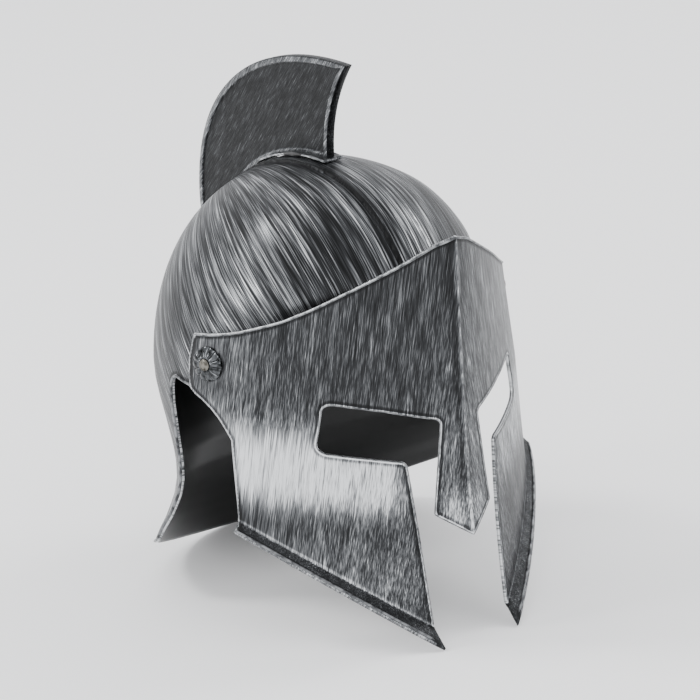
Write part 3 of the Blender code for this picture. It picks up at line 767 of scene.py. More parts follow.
@dataclass
class SkullShell:
    """The skull: dome, middle band, ear notches and neck guard, one wall of moulded plastic."""

    form: SkullForm
    outside: bpy.types.Material
    inside: bpy.types.Material
    wall_mm: float = 2.0
    band: float = 10.5
    band_shoulder: float = 1.4
    band_height: float = 1.2
    band_fade: tuple[float, float] = (67.6, 117.6)
    front_columns: int = 64
    back_columns: int = 76
    dome_rows: int = 84
    neck_rows: int = 84
    corner_rows: int = 12
    pivot: tuple[float, float] = (-21.4, 140.4)
    bore: float = 2.9
    pole: float = math.radians(55.0)

    def dome_place(self, corner: float) -> Place:
        """The dome's surface from crown to lower edge, all the way round."""
        form = self.form

        def place(u: float, v: float) -> Vector:
            columns = self.front_columns + self.back_columns
            i = round(u * 2 * columns) - columns
            if abs(i) <= self.front_columns:
                turn = corner * abs(i) / self.front_columns
                bottom = form.face_edge(turn, corner)
            else:
                turn = corner + (math.pi - corner) * (abs(i) - self.front_columns) / self.back_columns
                bottom = form.ear_z
            last = math.asin((bottom - form.equator) / form.rise)
            z = form.equator + form.rise * math.sin(math.pi / 2 + (last - math.pi / 2) * v)
            p = form.dome(turn, z)
            return Vector((-p.x, p.y, p.z)) if i < 0 else p

        return place

    def edge_height(self, v: float) -> float:
        """Height on the neck guard's front edge at a share of its rows, crowded round the ear corner."""
        form = self.form
        split = self.corner_rows / self.neck_rows
        if v <= split:
            return form.ear_z - form.ear_radius * (1.0 - math.cos(math.pi / 2 * v / split))
        low = form.ear_z - form.ear_radius
        return low + (form.neck_corner[1] - low) * (v - split) / (1.0 - split)

    def neck_place(self, corner: float) -> Place:
        """The neck guard's surface from the dome's last row to its rim."""
        form = self.form
        starts: dict[float, float] = {}

        def place(u: float, v: float) -> Vector:
            z_edge = self.edge_height(v)
            if v not in starts:
                starts[v] = corner if v < 1e-6 else form.edge_turn(z_edge)
            i = round(u * 2 * self.back_columns) - self.back_columns
            turn = math.pi - (math.pi - starts[v]) * abs(i) / self.back_columns
            share = (form.ear_z - z_edge) / (form.ear_z - form.neck_corner[1])
            z = form.ear_z + share * (form.rim_z(turn) - form.ear_z)
            if abs(i) == self.back_columns:
                z = z_edge
            p = form.neck(turn, z)
            return Vector((-p.x, p.y, p.z)) if i > 0 else p

        return place

    def surface(self) -> bmesh.types.BMesh:
        """Lays dome and neck guard, joins them and raises the band."""
        corner = self.form.edge_turn(self.form.ear_z - 0.001)
        bm = sheet(2 * (self.front_columns + self.back_columns), self.dome_rows, self.dome_place(corner))
        join_into(bm, sheet(2 * self.back_columns, self.neck_rows, self.neck_place(corner)))
        bmesh.ops.remove_doubles(bm, verts=bm.verts, dist=0.05)
        turn_outwards(bm, Vector((0.0, 0.0, 100.0)))
        for x in (self.band, self.band + self.band_shoulder):
            for side in Side:
                geometry = bm.verts[:] + bm.edges[:] + bm.faces[:]
                at = Vector((side.value * x, 0.0, 0.0))
                across = Vector((1.0, 0.0, 0.0))
                bmesh.ops.bisect_plane(bm, geom=geometry, dist=0.001, plane_co=at, plane_no=across)
        bm.normal_update()
        for vert in [v for v in bm.verts if abs(v.co.x) <= self.band + 0.01]:
            away = Vector((0.0, vert.normal.y, vert.normal.z)).normalized()
            vert.co += away * (self.band_height * eased(vert.co.z, *self.band_fade))
        open_bores(bm, self.pivot, self.bore, 3.0)
        return bm

    def rim_lines(self) -> list[list[Vector]]:
        """The neck guard's edges: both front edges, round the ear to the tip, and the rim below."""
        form = self.form
        lines = []
        for side in Side:
            line = []
            corner = form.edge_turn(form.ear_z - 0.001)
            for i in range(60):
                turn = corner * (0.55 + 0.45 * i / 60)
                line.append(form.dome(turn, form.face_edge(turn, corner)))
            for i in range(121):
                z = self.edge_height(i / 120)
                line.append(form.neck(form.edge_turn(z), z))
            lines.append([Vector((side.value * p.x, p.y, p.z)) for p in line])
        start = form.edge_turn(form.neck_corner[1])
        rim = []
        for i in range(241):
            turn = math.pi - (math.pi - start) * abs(i - 120) / 120
            p = form.neck(turn, form.rim_z(turn) if abs(i - 120) < 120 else form.neck_corner[1])
            rim.append(Vector((math.copysign(p.x, i - 120), p.y, p.z)))
        return lines + [rim]

    def paint(self, bm: bmesh.types.BMesh) -> None:
        """Writes the strokes' directions and the silver's cover, with painted light and shade mixed in.

        The strokes run round an axis that leans back, so they sweep from the back of the crown to the brow.
        """
        edge_distances(bm, [dense(line) for line in self.rim_lines()])
        axis = Vector((0.0, math.sin(self.pole), math.cos(self.pole)))
        front = Vector((0.0, -math.cos(self.pole), math.sin(self.pole)))
        centre = Vector((0.0, -5.0, self.form.equator))
        stroke = bm.verts.layers.float_vector.new("stroke")
        silver_and_painted_light = bm.verts.layers.float.new("silver_and_painted_light")
        for vert in bm.verts:
            p = vert.co - centre
            high, ahead = p.dot(axis), p.dot(front)
            turn = math.atan2(p.x, ahead)
            fall = math.acos(max(min(high / max(p.length, 1.0), 1.0), -1.0))
            vert[stroke] = Vector((100.0 * math.cos(turn), 100.0 * math.sin(turn), 110.0 * fall))
            vert[silver_and_painted_light] = self.silver_and_light_at(vert.co, turn, fall)

    def silver_and_light_at(self, p: Vector, turn: float, fall: float) -> float:
        """How much silver a place has, with painted light and shade mixed in: less past the ear, most on the
        band's left edge in front, where the bright line is partly wear and partly a painted highlight.
        """
        side = abs(turn)
        value = 0.42
        # Broad lighter and darker zones over the dome: the silver's amount with painted light and shade mixed
        # in.
        value -= 0.08 * bump(fall, math.radians(52.0), math.radians(14.0))
        value += 0.12 * bump(side, 0.62, 0.2) * bump(fall, math.radians(62.0), math.radians(26.0))
        value -= 0.20 * bump(side, 0.40, 0.26) * eased(fall, math.radians(56.0), math.radians(84.0))
        value -= 0.10 * eased(side, 1.25, 1.9)
        edge = abs(abs(p.x) - (self.band + 0.3))
        if p.z > self.form.equator:
            # Band edges: the left edge's bright line is partly wear and partly a painted highlight; the right
            # edge is painted dark so its shoulder shows no highlight; a painted shadow lies just outside both
            # edges.
            band_edge_wear_and_light = 0.6 - 0.8 * eased(p.y, -70.0, 0.0) if p.x > 0.0 else -0.5
            value += band_edge_wear_and_light * (1.0 - eased(edge, 0.4, 1.3)) - 0.15 * bump(abs(p.x), self.band + 2.8, 1.6)
        return value

    def dress(self) -> None:
        """Builds the shell and puts it on the skull."""
        bm = self.surface()
        self.paint(bm)
        shell = finish_mesh(bm, "skull_wall", [self.outside, self.inside])
        wall(shell, self.wall_mm)
        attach(shell, Body.SKULL.value)
        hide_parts("skull_shell")
        LOG.info("skull_wall: dome, band and neck guard")


@dataclass
class RolledEdges:
    """Raised beads and worn edges along the rims, in bright silver where the brush caught them."""

    finish: bpy.types.Material
    beads: dict[str, tuple[Body, list[tuple[list[Vector], float, bool]]]] = field(default_factory=dict)

    def add(self, name: str, body: Body, line: list[Vector], radius: float, closed: bool = False) -> None:
        """Notes one bead for a piece.

        Args:
            name: The piece's name.
            body: What it rides.
            line: The bead's middle line.
            radius: Its radius in millimetres.
            closed: Whether it is a ring.
        """
        self.beads.setdefault(name, (body, []))[1].append((line, radius, closed))

    def dress(self, slot: str) -> None:
        """Builds the pieces that were noted.

        Args:
            slot: Not used.
        """
        for name, (body, lines) in self.beads.items():
            bm = bmesh.new()
            for line, radius, closed in lines:
                join_into(bm, swept(line, radius, closed))
            piece = finish_mesh(bm, name, [self.finish])
            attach(piece, body.value)
            LOG.info("%s: %d beads", name, len(lines))


@dataclass
class Faceplate:
    """The visor: a bent plate with eye slots, nose guard, cheek guards and a flange along their feet."""

    form: VisorForm
    outside: bpy.types.Material
    inside: bpy.types.Material
    wall_mm: float = 2.0
    columns: int = 190
    rows: int = 150
    flange_share: float = 0.05
    pivot: tuple[float, float] = (-21.4, 140.4)
    bore: float = 2.9

    def place(self, u: float, v: float) -> Vector:
        """The plate from brow to cheek, then the flange below the bend."""
        form = self.form
        i = round(u * self.columns) - self.columns // 2
        part = abs(i) / (self.columns // 2)
        side = math.copysign(1.0, i)
        down = min(v / (1.0 - self.flange_share), 1.0)
        x = side * part * form.width_at(down)
        z = form.brow_z(x) + down * (form.cheek_z(x) - form.brow_z(x))
        if v <= 1.0 - self.flange_share + 1e-6:
            return form.point(x, z)
        share = (v - (1.0 - self.flange_share)) / self.flange_share
        return form.point(x, z).lerp(form.flange(x), share)

    def cut_face(self, bm: bmesh.types.BMesh) -> None:
        """Cuts the sheet along the face opening and removes what lies inside it."""
        half = self.form.outline()
        outline = half + [(-x, z) for x, z in half[::-1] if x > 1e-6]
        for (x0, z0), (x1, z1) in zip(outline, outline[1:] + outline[:1]):
            if abs(x0 - x1) + abs(z0 - z1) < 1e-3 or (z0 < -40.0 and z1 < -40.0):
                continue
            low_x, high_x = min(x0, x1) - 2.5, max(x0, x1) + 2.5
            low_z, high_z = min(z0, z1) - 2.5, max(z0, z1) + 2.5
            faces = [f for f in bm.faces if self.near(f, low_x, high_x, low_z, high_z)]
            geometry = set(faces)
            for f in faces:
                geometry.update(f.verts)
                geometry.update(f.edges)
            normal = Vector((z1 - z0, 0.0, x0 - x1)).normalized()
            at = Vector((x0, 0.0, z0))
            bmesh.ops.bisect_plane(bm, geom=list(geometry), dist=0.02, plane_co=at, plane_no=normal)
        gone = [f for f in bm.faces if self.within(f.calc_center_median(), outline)]
        bmesh.ops.delete(bm, geom=gone, context="FACES")

    @staticmethod
    def near(face: bmesh.types.BMFace, low_x: float, high_x: float, low_z: float, high_z: float) -> bool:
        """Whether a face's middle lies in a window of x and z."""
        middle = face.calc_center_median()
        return low_x < middle.x < high_x and low_z < middle.z < high_z

    @staticmethod
    def within(p: Vector, outline: list[tuple[float, float]]) -> bool:
        """Whether a point's x and z lie inside an outline."""
        inside = False
        for (x0, z0), (x1, z1) in zip(outline, outline[1:] + outline[:1]):
            if (z0 > p.z) != (z1 > p.z) and p.x < x0 + (p.z - z0) / (z1 - z0) * (x1 - x0):
                inside = not inside
        return inside

    def brow_line(self) -> list[Vector]:
        """The top edge from temple to temple."""
        form = self.form
        xs = [form.width_at(0.0) * (i - 120) / 120 for i in range(241)]
        return [form.point(x, form.brow_z(x)) for x in xs]

    def rear_line(self, side: Side) -> list[Vector]:
        """One rear edge from temple to flange."""
        form = self.form
        line = []
        for i in range(101):
            x = side.value * form.width_at(i / 100)
            z = form.brow_z(x) + i / 100 * (form.cheek_z(x) - form.brow_z(x))
            line.append(form.point(x, z))
        return line + [form.flange(line[-1].x)]

    def flange_line(self, side: Side, share: float = 1.0) -> list[Vector]:
        """One flange's lower edge, or a line a share of the way down to it, from tip to rear corner."""
        form = self.form
        widths = [form.tip_x + (form.rear[-1][1] - form.tip_x) * i / 80 for i in range(81)]
        xs = [side.value * width for width in widths]
        return [form.point(x, form.cheek_z(x)).lerp(form.flange(x), share) for x in xs]

    def opening_line(self, side: Side) -> list[Vector]:
        """One half of the face opening on the plate's outside."""
        half = [Vector((side.value * x, 0.0, z)) for x, z in self.form.outline()]
        flat = [p for p in dense(half, 1.0) if p.z > self.form.cheek_z(p.x) + 0.3]
        return [self.form.point(p.x, p.z) for p in flat]

    def paint(self, bm: bmesh.types.BMesh) -> None:
        """Writes the strokes, which run down the plate, and the silver's cover, with painted light mixed in.
        """
        lines = [self.brow_line()]
        for side in Side:
            lines += [self.rear_line(side), self.flange_line(side), self.opening_line(side)]
        edge_distances(bm, [dense(line) for line in lines])
        stroke = bm.verts.layers.float_vector.new("stroke")
        silver_and_painted_light = bm.verts.layers.float.new("silver_and_painted_light")
        for vert in bm.verts:
            p = vert.co
            lean = -0.10 * abs(p.x) * bump(p.z, 185.0, 60.0)
            vert[stroke] = Vector((-abs(p.x) - 0.12 * (p.z - 60.0), 0.9 * p.y, p.z + lean))
            vert[silver_and_painted_light] = self.silver_and_light_at(p)

    def silver_and_light_at(self, p: Vector) -> float:
        """How much silver a place has, with painted light mixed in: thin over the eyes, a bright belt across
        the cheeks that is partly silver and partly a painted highlight, medium below, and the left half
        painted flatter and darker for how it catches the light.
        """
        form = self.form
        x = abs(p.x)
        side = eased(x, 24.0, 40.0)
        # The belt across the cheeks is partly brighter silver and partly a painted highlight.
        belt_silver_and_highlight = eased(p.z, 58.0, 84.0) * (1.0 - eased(p.z, 94.0, 130.0))
        value = 0.33 + 0.58 * belt_silver_and_highlight * side
        value += 0.14 * (1.0 - eased(p.z, 34.0, 70.0)) * eased(p.z, -5.0, 30.0)
        value += 0.10 * eased(x, 70.0, 88.0) * eased(p.z, 104.0, 150.0)
        value -= 0.06 * bump(x, 34.0, 30.0) * eased(p.z, 118.0, 150.0)
        value += 0.30 * (1.0 - eased(p.z, 62.0, 96.0)) * (1.0 - eased(x, 16.0, 22.0))
        value += 0.16 * bump(x, 10.0, 9.0) * (1.0 - eased(p.z, 110.0, 150.0))
        value += 0.30 * (1.0 - eased(x, 0.4, 1.4)) - 0.10 * bump(x, 3.2, 2.4)
        # Painted light: the left half, seen at a grazing angle, is flattened to a mid grey and darkened low
        # down for how it catches the light.
        if p.x > 1.0:
            value = 0.42 + 0.5 * (value - 0.33) - 0.16 * (1.0 - eased(p.z, 60.0, 110.0)) * side
        bend = p.z - form.cheek_z(x)
        value += 0.30 * bump(bend, 1.0, 1.4)
        return value if bend > -0.4 else 0.24

    def dress(self) -> None:
        """Builds the plate and puts it on the visor's body."""
        bm = sheet(self.columns, self.rows, self.place)
        self.cut_face(bm)
        open_bores(bm, self.pivot, self.bore, 2.2)
        bmesh.ops.remove_doubles(bm, verts=bm.verts, dist=0.01)
        turn_outwards(bm, Vector((0.0, 60.0, 100.0)))
        self.paint(bm)
        plate = finish_mesh(bm, "visor_plate", [self.outside, self.inside])
        wall(plate, self.wall_mm)
        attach(plate, Body.VISOR.value)
        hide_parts("visor")
        LOG.info("visor_plate: plate with eye slots, nose and cheek guards")


@dataclass
class Crest:
    """The fin over the crown, with a raised rim round its panels, and the saddle plate at its foot."""

    skull: SkullForm
    finish: bpy.types.Material
    thickness: float = 5.0
    centre: tuple[float, float] = (-40.0, 172.0)
    reach: float = 171.9
    rise: float = 114.4
    fall: float = 100.0
    power: float = 2.15
    tip_y: float = -14.0
    front_bow: float = 6.0
    foot_y: float = 2.5
    tail_y: float = 110.0
    tail_inset: float = 3.0
    rim: float = 4.0
    sink: float = 0.8
    gap: float = 0.5
    band_height: float = 1.2
    saddle_half: float = 6.5
    saddle_thickness: float = 1.8
    saddle_tail: float = 0.62
    tail_start: float = 0.3
    tail_closing: float = 0.12
    tip_start: float = 6.0
    tip_closing: float = 0.34
    sharpest: float = 0.4
    steps: tuple[int, int, int] = (12, 50, 22)
    rim_cover: float = 0.52
    panel_cover: float = 0.14
    slot_at: tuple[float, float] = (30.0, 1.1)
    slot_size: tuple[float, float] = (8.6, 1.2)
    tab_at: tuple[float, float] = (8.5, 1.3)
    tab_size: tuple[float, float] = (5.6, 0.5)
    boss_proud: float = 0.15
    boss_root: float = 0.4

    def arc(self, turn: float) -> Vector:
        """A point of the outer edge, as y and z."""
        fall = self.rise if turn > 0 else self.fall
        c, s = math.cos(turn), math.sin(turn)
        y = self.centre[0] + self.reach * abs(c) ** (2.0 / self.power)
        return Vector((y, self.centre[1] + math.copysign(abs(s) ** (2.0 / self.power), s) * fall))

    def base(self, y: float, rise: float = 0.0) -> Vector:
        """A point above the skull's band, measured square to the skull, as y and z."""
        slope = self.skull.crown_z(y + 0.5) - self.skull.crown_z(y - 0.5)
        out = Vector((-slope, 1.0)).normalized()
        return Vector((y, self.skull.crown_z(y))) + out * (self.band_height + self.gap + rise)

    def outline(self) -> list[Vector]:
        """The fin's outline as y and z: up the front, over the top, down the back and along the skull."""
        tip = math.pi / 2
        while self.arc(tip).x < self.tip_y:
            tip -= 0.002
        tail = 0.0
        while self.skull.crown_z(self.arc(tail).x - self.tail_inset) < self.arc(tail).y:
            tail -= 0.005
        arc = [self.arc(tip + (tail - tip) * i / 300) for i in range(301)]
        foot = self.base(self.foot_y)
        front = []
        for i in range(41):
            t = i / 40
            p = foot.lerp(arc[0], t)
            front.append(Vector((p.x + 4.0 * self.front_bow * t * (1.0 - t), p.y)))
        shares = [math.sin(math.pi / 2 * i / 120) ** 0.9 for i in range(121)]
        base = [self.base(self.foot_y + (self.tail_y - self.foot_y) * share) for share in shares][::-1]
        up, over, along = self.steps
        return evenly(front, up)[:-1] + evenly(arc, over) + evenly(base, along)[:-1]

    def fin(self) -> bmesh.types.BMesh:
        """The fin: its rim is one section carried round the outline, and both panels are filled inside it."""
        outline = self.outline()
        count = len(outline)
        half, step = self.thickness / 2.0, self.rim - 0.9
        edge = [(half - self.sink, self.rim), (half, step), (half, 0.7)]
        edge += [(half - 0.2, 0.25), (half - 0.7, 0.0)]
        section = [(-x, d) for x, d in edge] + edge[::-1]
        tail = max(range(count), key=lambda i: outline[i].x * 0.2 - outline[i].y)

        def place(u: float, v: float) -> Vector:
            x, inward = section[round(u * (len(section) - 1))]
            i = round(v * count) % count
            here = outline[i]
            ahead = (outline[(i + 1) % count] - here).normalized()
            behind = (here - outline[i - 1]).normalized()
            right_of = Vector((behind.y, -behind.x))
            inside = (right_of + Vector((ahead.y, -ahead.x))).normalized()
            from_tail, from_tip = (here - outline[tail]).length, (here - outline[self.steps[0]]).length
            inward = min(inward, self.tail_start + self.tail_closing * from_tail)
            inward = min(inward, self.tip_closing * max(from_tip, self.tip_start))
            p = here + inside * (inward / max(inside.dot(right_of), self.sharpest))
            return Vector((x, p.x, p.y))

        bm = sheet(len(section) - 1, count, place)
        bmesh.ops.holes_fill(bm, edges=[e for e in bm.edges if e.is_boundary])
        bmesh.ops.recalc_face_normals(bm, faces=bm.faces)
        self.paint(bm)
        bmesh.ops.triangulate(bm, faces=[f for f in bm.faces if len(f.verts) > 4])
        return bm

    def paint(self, bm: bmesh.types.BMesh) -> None:
        """Writes strokes that climb towards the front, with light rims, dark panels and a dark outer edge."""
        stroke = bm.verts.layers.float_vector.new("stroke")
        silver_and_painted_light = bm.verts.layers.float.new("silver_and_painted_light")
        rim = bm.verts.layers.float.new("rim")
        half = self.thickness / 2.0
        for vert in bm.verts:
            x, y, z = vert.co
            vert[stroke] = Vector((0.82 * y + 0.57 * z, 0.4 * x, 0.82 * z - 0.57 * y))
            side = abs(x)
            vert[silver_and_painted_light] = self.rim_cover if side > half - 0.1 else self.panel_cover
            vert[rim] = 50.0

    def boss(self, side: Side, at: tuple[float, float], size: tuple[float, float]) -> bmesh.types.BMesh:
        """A low oval boss on the saddle's flank.

        Args:
            side: Which flank.
            at: Its middle, as y and the height above the saddle's foot.
            size: Half its length and half its height.

        Returns:
            The boss, closed.
        """

        def shape(radius: float, height: float, turn: float) -> Vector:
            along, up = radius * size[0] * math.cos(turn), radius * size[1] * math.sin(turn)
            p = self.base(at[0] + along, at[1] + up)
            return Vector((side.value * (self.saddle_half - self.boss_root + height), p.x, p.y))

        reach = self.boss_proud + self.boss_root
        return turned([(0.0, 0.0), (1.0, 0.0), (1.0, 0.7 * reach), (0.85, reach), (0.0, reach)], 32, shape)

    def saddle(self) -> bmesh.types.BMesh:
        """The plate along the fin's foot, with rounded edges."""
        rows, steps = 60, 16

        def place(u: float, v: float) -> Vector:
            share = math.sin(math.pi / 2 * v) ** 0.9
            y = self.foot_y - 1.5 + (1.5 + (self.tail_y - self.foot_y) * self.saddle_tail) * share
            half = self.saddle_half * (1.0 - 0.45 * eased(v, 0.55, 1.0))
            turn = 2.0 * math.pi * u
            x = half * math.copysign(abs(math.cos(turn)) ** 0.35, math.cos(turn))
            high = 0.5 + 0.5 * math.copysign(abs(math.sin(turn)) ** 0.6, math.sin(turn))
            p = self.base(y, self.saddle_thickness * high)
            return Vector((x, p.x, p.y))

        bm = sheet(steps, rows, place)
        bmesh.ops.holes_fill(bm, edges=[e for e in bm.edges if e.is_boundary])
        bmesh.ops.recalc_face_normals(bm, faces=bm.faces)
        return bm

    def dress(self, black: bpy.types.Material, bright: bpy.types.Material) -> None:
        """Builds fin and saddle and puts them on the skull.

        Args:
            black: The finish of the socket in the saddle's flank, whose black stands for the slot's hollow:
                partly bare plastic, partly painted shade.
            bright: The finish of the worn tab beside it.
        """
        fin = finish_mesh(self.fin(), "crest_panel", [self.finish], 30.0)
        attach(fin, Body.SKULL.value)
        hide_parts("crest_fin")
        plate = self.saddle()
        stroke = plate.verts.layers.float_vector.new("stroke")
        silver_and_painted_light = plate.verts.layers.float.new("silver_and_painted_light")
        rim = plate.verts.layers.float.new("rim")
        for vert in plate.verts:
            vert[stroke] = Vector((vert.co.x, 0.3 * vert.co.z, vert.co.y))
            vert[silver_and_painted_light] = 0.42 + 0.35 * bump(abs(vert.co.x), self.saddle_half, 1.5)
            vert[rim] = 50.0
        saddle = finish_mesh(plate, "crest_saddle", [self.finish])
        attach(saddle, Body.SKULL.value)
        # The socket is a proud black oval standing for a slot: its black is partly the bare plastic, partly
        # painted shade in the hollow.
        socket, tab = (self.slot_at, self.slot_size), (self.tab_at, self.tab_size)
        for name, (at, size), finish in (("socket", socket, black), ("tab", tab, bright)):
            bosses = self.boss(Side.RIGHT, at, size)
            join_into(bosses, self.boss(Side.LEFT, at, size))
            piece = finish_mesh(bosses, f"crest_saddle_{name}", [finish])
            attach(piece, Body.SKULL.value)
        LOG.info("crest_panel, crest_saddle, its socket and tab")


@dataclass
class TemplePivot:
    """One temple: the petalled rosette and the domed pin through its middle."""

    side: Side
    visor: VisorForm
    skull: SkullForm
    chrome: bpy.types.Material
    brass: bpy.types.Material
    at: tuple[float, float] = (-21.4, 140.4)
    radius: float = 9.4
    rise: float = 3.0
    brim: float = 1.0
    petals: int = 12
    dimple: float = 0.3
    gap: float = 0.35
    shank: float = 2.0
    head: float = 3.2
    head_rise: float = 1.3
    head_gap: float = 0.35
    tail: float = 3.6
    tail_thickness: float = 1.6
    tail_gap: float = 0.4

    def plate_x(self, y: float, z: float) -> float:
        """Half the faceplate's outside width at a place on its side."""
        return solve(lambda x: self.visor.plate_y(x, z) - y, 60.0, 130.0)

    def skull_x(self, y: float, z: float) -> float:
        """Half the skull's outside width at a place on its side."""
        turn = solve(lambda a: self.skull.dome(a, z).y - y, 0.0, math.pi / 2)
        return self.skull.dome(turn, z).x

    def seat(self, lift: float = 0.0) -> Matrix:
        """Where the rosette sits: square to the plate, with the middle of its top on the pivot axis."""
        y0, z0 = self.at
        slope_y = self.plate_x(y0 + 1.0, z0) - self.plate_x(y0 - 1.0, z0)
        slope_z = self.plate_x(y0, z0 + 1.0) - self.plate_x(y0, z0 - 1.0)
        out = Vector((1.0, -slope_y / 2.0, -slope_z / 2.0)).normalized()
        y, z = y0 - out.y * self.rise, z0 - out.z * self.rise
        base = Vector((self.plate_x(y, z), y, z))
        proud = 0.0
        for i in range(16):
            for share in (0.35, 0.7, 1.0):
                side_y = y + self.radius * share * math.cos(math.pi * i / 8)
                side_z = z + self.radius * share * math.sin(math.pi * i / 8)
                proud = max(proud, (Vector((self.plate_x(side_y, side_z), side_y, side_z)) - base).dot(out))
        base += out * (proud + self.gap + lift)
        out.x *= self.side.value
        base.x *= self.side.value
        return Matrix.Translation(base) @ out.to_track_quat("Z", "Y").to_matrix().to_4x4()

    def petal(self, seat: Matrix) -> Shape:
        """Shapes the rosette: rounded petals with grooves between them."""

        def shape(radius: float, height: float, turn: float) -> Vector:
            wave = abs(math.sin(self.petals * turn / 2.0)) ** 0.6
            if radius > self.head and height > self.brim * 0.5:
                share = eased(radius, self.head, self.radius * 0.6)
                height -= 0.7 * (1.0 - wave) * share
                radius *= 1.0 - 0.045 * (1.0 - wave) * share
            return seat @ Vector((radius * math.cos(turn), radius * math.sin(turn), height))

        return shape

    def rosette(self) -> bmesh.types.BMesh:
        """The rosette, domed, with a dimple for the pin's head and a bore for its shank."""
        r, h = self.radius, self.rise
        low = h - self.dimple
        profile = [(2.4, 0.0), (r * 0.97, 0.0), (r, 0.35), (r, self.brim)]
        profile += [(r * 0.975, h * 0.40), (r * 0.95, h * 0.46), (r * 0.88, h * 0.58), (r * 0.80, h * 0.69)]
        profile += [(r * 0.70, h * 0.80), (r * 0.60, h * 0.90), (r * 0.50, h * 0.97), (r * 0.44, h)]
        profile += [(r * 0.39, h * 0.99), (self.head + 0.2, low), (2.4, low), (2.4, 0.0)]
        return turned(profile, 144, self.petal(self.seat()))

    def pin(self) -> bmesh.types.BMesh:
        """The pin: domed head, shank and the disc that holds it inside the skull."""
        y, z = self.at
        reach = []
        for i in range(12):
            py = y + self.tail * math.cos(math.pi * i / 6)
            pz = z + self.tail * math.sin(math.pi * i / 6)
            slope_y = self.skull_x(py + 0.5, pz) - self.skull_x(py - 0.5, pz)
            slope_z = self.skull_x(py, pz + 0.5) - self.skull_x(py, pz - 0.5)
            reach.append(self.skull_x(py, pz) - 2.0 * math.sqrt(1.0 + slope_y**2 + slope_z**2))
        tail = min(reach) - self.tail_gap
        seat = self.seat(self.rise - self.dimple + self.head_gap)
        top = abs(seat.translation.x) - tail + 0.45 * self.head_rise
        along = Matrix.Translation(Vector((self.side.value * tail, y, z)))
        along = along @ Vector((self.side.value, 0.0, 0.0)).to_track_quat("Z", "Y").to_matrix().to_4x4()

        def on(matrix: Matrix) -> Shape:
            """A plain round section in a matrix."""

            def shape(radius: float, height: float, turn: float) -> Vector:
                return matrix @ Vector((radius * math.cos(turn), radius * math.sin(turn), height))

            return shape

        t, thick = self.tail, self.tail_thickness
        shaft = [(0.0, -thick), (t - 0.4, -thick), (t, 0.4 - thick), (t, -0.3), (t - 0.3, 0.0)]
        shaft += [(self.shank, 0.0), (self.shank, top), (0.0, top)]
        bm = turned(shaft, 40, on(along))
        r, h = self.head, self.head_rise
        dome = [(0.0, 0.0), (r * 0.94, 0.0), (r, 0.2 * h), (r * 0.97, 0.42 * h), (r * 0.88, 0.6 * h)]
        dome += [(r * 0.72, 0.78 * h), (r * 0.62, 0.74 * h), (r * 0.55, 0.86 * h)]
        dome += [(r * 0.3, 0.97 * h), (0.0, h)]
        join_into(bm, turned(dome, 48, on(seat)))
        return bm

    def dress(self) -> None:
        """Builds both pieces and puts them on the faceplate's body, with which they turn."""
        word = self.side.name.lower()
        washer = finish_mesh(self.rosette(), f"rosette_{word}_petals", [self.chrome], 32.0)
        pin = finish_mesh(self.pin(), f"pivot_pin_{word}_brass", [self.brass], 35.0)
        dressed = ((washer, "rosette_chrome", f"rosette_{word}"), (pin, "pin_brass", f"pivot_pin_{word}"))
        for piece, slot, node in dressed:
            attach(piece, Body.VISOR.value)
            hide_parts(node)
        LOG.info("rosette and pin, %s side", word)


